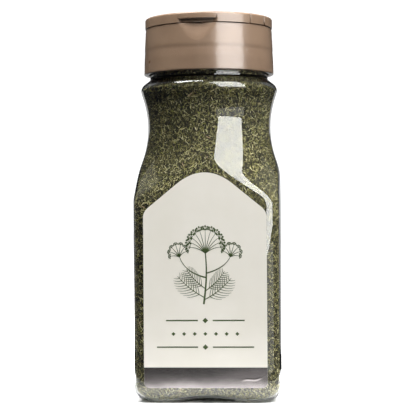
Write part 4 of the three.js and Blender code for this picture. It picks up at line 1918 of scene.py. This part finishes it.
@dataclass(frozen=True)
class Lamp:
    """A softbox, placed by its bearing and aimed at a point on the jar's axis, in metres."""

    name: str
    bearing: float
    elevation: float
    distance: float
    width: float
    height: float
    radiance: float
    tilt: float
    reach: Reach
    roll: float = 0.0
    aim: float = 0.085

    def build(self) -> None:
        """Makes the lamp. A bearing of 0 is the label's side and 90 is the jar's right."""
        across, up = math.radians(self.bearing), math.radians(self.elevation)
        flat = math.cos(up)
        way = Vector((math.sin(across) * flat, -math.cos(across) * flat, math.sin(up)))
        data = bpy.data.lights.new(self.name, "AREA")
        data.shape = "RECTANGLE"
        data.size, data.size_y = self.width, self.height
        data.energy = self.radiance * math.pi * self.width * self.height
        lamp = bpy.data.objects.new(self.name, data)
        place = Vector((0, 0, self.aim)) + self.distance * way
        lamp.matrix_world = stood(place, across, math.radians(90 - self.tilt), self.roll)
        lamp.visible_camera = False
        lamp.visible_diffuse, lamp.visible_glossy = self.reach.value
        lamp.visible_transmission = lamp.visible_glossy
        bpy.context.collection.objects.link(lamp)


def stood(place: Vector, across: float, up: float, roll: float) -> Matrix:
    """Where a lamp or a camera stands.

    Args:
        place: Its place, in metres.
        across: Its turn about Z, in radians.
        up: How far it looks up from straight down, in radians.
        roll: Its roll in degrees.

    Returns:
        Its matrix.
    """
    turns = Matrix.Rotation(across, 4, "Z") @ Matrix.Rotation(up, 4, "X")
    return Matrix.Translation(place) @ turns @ Matrix.Rotation(math.radians(roll), 4, "Z")


@dataclass
class Studio:
    """A white table under soft light, and the camera. Only the table's radii are in millimetres."""

    lamps: tuple[Lamp, ...]
    surround: float
    backdrop: float = 1.2
    acrylic: str = "#e6e6e6"
    near_bounce: str = "#aaaaaa"
    far_bounce: str = "#202020"
    # Painted shade: the dark the table shows in reflections beside the jar.
    side_mirror: str = "#2a2a2a"
    bounce_fall: tuple[float, float] = (0.05, 0.09)
    glow_rise: tuple[float, float] = (0.04, 0.12)
    mirror_fall: tuple[float, float] = (0.033, 0.06)
    disc_radius: float = 98.0
    table_radius: float = 4000.0
    camera_bearing: float = 3.5
    camera_distance: float = 0.62
    camera_height: float = 0.0845
    yaw: float = 0.08
    roll: float = -0.4
    lens: float = 117.9
    sensor: float = 36.0

    def acrylic_white(self, name: str) -> bpy.types.Material:
        """White acrylic with painted light: glows towards the lens, throws little light on the
        jar's sides.

        Args:
            name: The material's name.

        Returns:
            The material.
        """
        graph = Finish(name)
        place = graph.node("ShaderNodeTexCoord").outputs["Object"]
        path = graph.node("ShaderNodeLightPath").outputs
        length = graph.node("ShaderNodeVectorMath", {0: place}, operation="LENGTH")
        away = length.outputs["Value"]
        # Painted bounce: the table's colour for diffuse light is darker the farther it lies from
        # the jar.
        stops = dict(zip(self.bounce_fall, (self.near_bounce, self.far_bounce)))
        fall = graph.node("ShaderNodeValToRGB", {"Fac": away}, stops)
        white = graph.node("ShaderNodeBsdfDiffuse", {"Color": linear(self.acrylic)})
        dim = graph.node("ShaderNodeBsdfDiffuse", {"Color": fall})
        inputs = {0: path["Is Diffuse Ray"], 1: white, 2: dim}
        sheet = graph.node("ShaderNodeMixShader", inputs)
        across = graph.node("ShaderNodeSeparateXYZ", {"Vector": place}).outputs["X"]
        squared = graph.node("ShaderNodeMath", {0: across, 1: across}, operation="MULTIPLY")
        # Reflections, but not transmission, see the table painted dark beyond these distances to
        # each side.
        start, end = self.mirror_fall
        inputs = {"Value": squared, "From Min": start**2, "From Max": end**2}
        aside = graph.node("ShaderNodeMapRange", inputs)
        inputs = {0: path["Is Glossy Ray"], 1: path["Is Transmission Ray"]}
        mirrored = graph.node("ShaderNodeMath", inputs, operation="SUBTRACT")
        share = graph.node("ShaderNodeMath", {0: aside, 1: mirrored}, operation="MULTIPLY")
        shade = graph.node("ShaderNodeBsdfDiffuse", {"Color": linear(self.side_mirror)})
        sheet = graph.node("ShaderNodeMixShader", {0: share, 1: sheet, 2: shade})
        # Painted light: the table glows towards the lens, more the farther it lies from the jar.
        inputs = {"Value": away, "From Min": self.glow_rise[0], "From Max": self.glow_rise[1]}
        inputs = {0: graph.node("ShaderNodeMapRange", inputs), 1: path["Is Camera Ray"]}
        seen = graph.node("ShaderNodeMath", inputs, operation="MULTIPLY")
        light = graph.node("ShaderNodeEmission", {"Color": WHITE, "Strength": seen})
        return graph.wearing(graph.node("ShaderNodeAddShader", {0: sheet, 1: light}))

    def floor(self) -> None:
        """Makes the table: a bright disc under the jar and a wide top that gloss doesn't show."""
        round_edge = ring(np.radians(np.arange(0, 360, 5)), 1.0, 0.0)
        count, inner = len(round_edge), self.disc_radius * round_edge
        name = "table_disc"
        material = self.acrylic_white(name + "_acrylic")
        mesh_piece(name, inner, [tuple(range(count))], material)
        points = np.vstack([inner, self.table_radius * round_edge])
        faces = [tuple(reversed(face)) for face in grid_faces(2, count)]
        name = "table_top"
        top = mesh_piece(name, points, faces, self.acrylic_white(name + "_acrylic"))
        top.visible_glossy = False
        top.visible_transmission = False

    def world(self) -> None:
        """Makes the surroundings: white behind the jar, a dim room everywhere else."""
        world = bpy.data.worlds.new("studio")
        world.use_nodes = True
        graph = Graph(world.node_tree)
        path = graph.node("ShaderNodeLightPath").outputs
        kind = "ShaderNodeBackground"
        room = graph.node(kind, {"Color": WHITE, "Strength": self.surround})
        white = graph.node(kind, {"Color": WHITE, "Strength": self.backdrop})
        inputs = {0: path["Is Camera Ray"], 1: room, 2: white}
        surface = graph.node("ShaderNodeMixShader", inputs)
        graph.node("ShaderNodeOutputWorld", {"Surface": surface})
        bpy.context.scene.world = world

    def camera(self) -> None:
        """Makes the camera: level, a little to the right of the label's middle."""
        data = bpy.data.cameras.new("camera")
        data.lens = self.lens
        data.sensor_width = self.sensor
        camera = bpy.data.objects.new("camera", data)
        bearing, away = math.radians(self.camera_bearing), self.camera_distance
        place = Vector((away * math.sin(bearing), -away * math.cos(bearing), self.camera_height))
        across = math.radians(self.camera_bearing + self.yaw)
        camera.matrix_world = stood(place, across, math.pi / 2, self.roll)
        bpy.context.collection.objects.link(camera)
        bpy.context.scene.camera = camera

    def build(self) -> None:
        """Makes the camera, the floor, the surroundings and the lamps."""
        bpy.context.scene.view_settings.view_transform = "Standard"
        self.camera()
        self.floor()
        self.world()
        for lamp in self.lamps:
            lamp.build()


def herb(name: str, *colours: str) -> DriedHerb:
    """A herb's finish whose colours run from dark to pale, evenly spaced."""
    return DriedHerb(name, tuple(zip((0.0, 0.5, 1.0), colours)))


def dill_kinds() -> tuple[Bits, ...]:
    """The kinds of dill bits.

    Returns:
        The kinds, with their sizes in millimetres.
    """
    # The dark needles lie deepest and are near black: partly the herb's dark tone, partly painted
    # shade deep among the bits.
    dark = herb("dill_needle_dark_and_shaded", "#0a0803", "#141107", "#2b2713")
    mid = herb("dill_needle_green", "#151208", "#37321a", "#756d42")
    pale = herb("dill_needle_pale", "#625d38", "#a49c64", "#e4dbaa")
    bright = herb("dill_needle_bright", "#54561f", "#86873a", "#b3b066")
    # Pale dust settled in the heel: partly real dust, partly painted light standing in for the
    # bright table lighting the heel.
    heel_dust_and_light = herb("dill_dust_pale_and_heel_light", "#5c5831", "#b6b077", "#f8f1c8")
    straw = ((0.0, "#958a5c"), (0.6, "#c3b98a"), (0.8, "#b08a76"), (1.0, "#e0d9b8"))
    stalk = DriedHerb("dill_stalk_straw", straw)
    sliver = BitShape.SLIVER
    return (
        Bits("dill_needles_dark", sliver, 1.9, 0.34, 0.03, 180, 1.2, 11, dark),
        Bits("dill_needles_green", sliver, 1.9, 0.22, 0.03, 125, 0.7, 23, mid),
        Bits("dill_slivers_green", sliver, 1.0, 0.22, 0.05, 125, 0.5, 37, mid),
        Bits("dill_needles_pale", sliver, 1.8, 0.18, 0.02, 62, 0.15, 41, pale),
        Bits("dill_slivers_pale", sliver, 0.9, 0.19, 0.03, 85, 0.12, 53, pale),
        Bits("dill_slivers_bright", sliver, 1.2, 0.24, 0.05, 18, 0.12, 59, bright),
        Bits("dill_stalks", BitShape.NEEDLE, 2.8, 0.36, 0.04, 0.8, 0.1, 67, stalk),
        Bits("dill_dust_settled", sliver, 0.9, 0.18, 0.03, 300, 0.12, 71, heel_dust_and_light, 7.5),
    )


def film_creases() -> tuple[Crease, ...]:
    """The creases in the cap's film.

    Returns:
        The seam's long crease and three short ones.
    """
    return (
        Crease(((-84.0, 145.4), (-85.4, 150.0), (-86.4, 158.0)), 0.22, 0.4),
        Crease(((-112.0, 151.8), (-110.8, 153.6), (-110.2, 156.0)), 0.18, 0.25),
        Crease(((-70.5, 152.4), (-69.0, 154.4), (-68.2, 156.8)), 0.2, 0.25),
        Crease(((-42.0, 150.2), (-41.0, 152.4), (-41.4, 154.8)), 0.1, 0.2),
    )


def studio_lamps() -> tuple[Lamp, ...]:
    """The studio's softboxes.

    Returns:
        Three that light matt surfaces, and the ones that reflections show.
    """
    matt, gloss = Reach.MATT, Reach.GLOSS
    return (
        Lamp("overhead_scrim", 0, 80, 1.0, 1.2, 1.1, 6.3, 80, matt),
        Lamp("key_fill", 66, 62, 1.1, 0.7, 0.7, 12.0, 62, matt),
        Lamp("left_fill", -62, 68, 1.1, 0.6, 0.6, 9.0, 68, matt),
        Lamp("key_softbox", 41, 36, 0.9, 0.78, 1.3, 6.4, 20, gloss, 2.7, 0.128),
        Lamp("key_skirt", 43, 0, 0.95, 0.95, 0.165, 0.75, 0, gloss, 0.0, -0.037),
        Lamp("top_softbox", -84, 71, 0.95, 0.3, 0.46, 12.0, 71, gloss),
        Lamp("left_wall", -135, 42, 1.0, 0.8, 0.6, 0.16, 42, gloss),
        Lamp("right_wall", 135, 42, 1.0, 0.8, 0.6, 0.16, 42, gloss),
        Lamp("backdrop_glow", 184, 0, 1.0, 1.1, 0.3, 0.45, 0, gloss, 0.0, 0.06),
        Lamp("table_sheen", 22, 0, 0.145, 0.09, 0.075, 0.36, -90, gloss, 0.0, 0.001),
    )


def main() -> None:
    """Builds the jar from the inside out, then the studio."""
    form, cap, thread = JarForm(), CapForm(), Thread()
    paper = Paper("label_paper_coated", "#eeeade", "#f4f0e6")
    ink = Paper("label_ink_green", "#3c4a2a", "#48582f", 0.4)
    DillFill(form, dill_kinds()).build()
    PetJar(form, ClearPet(), thread).build()
    FrontLabel(paper, FoilInk(), ink).build()
    CapMaker(cap, FlakedBronze(), thread).build()
    ShrinkBand(cap, ShrinkFilm(), film_creases()).build()
    Studio(studio_lamps(), surround=0.03).build()


if __name__ == "__main__":
    main()
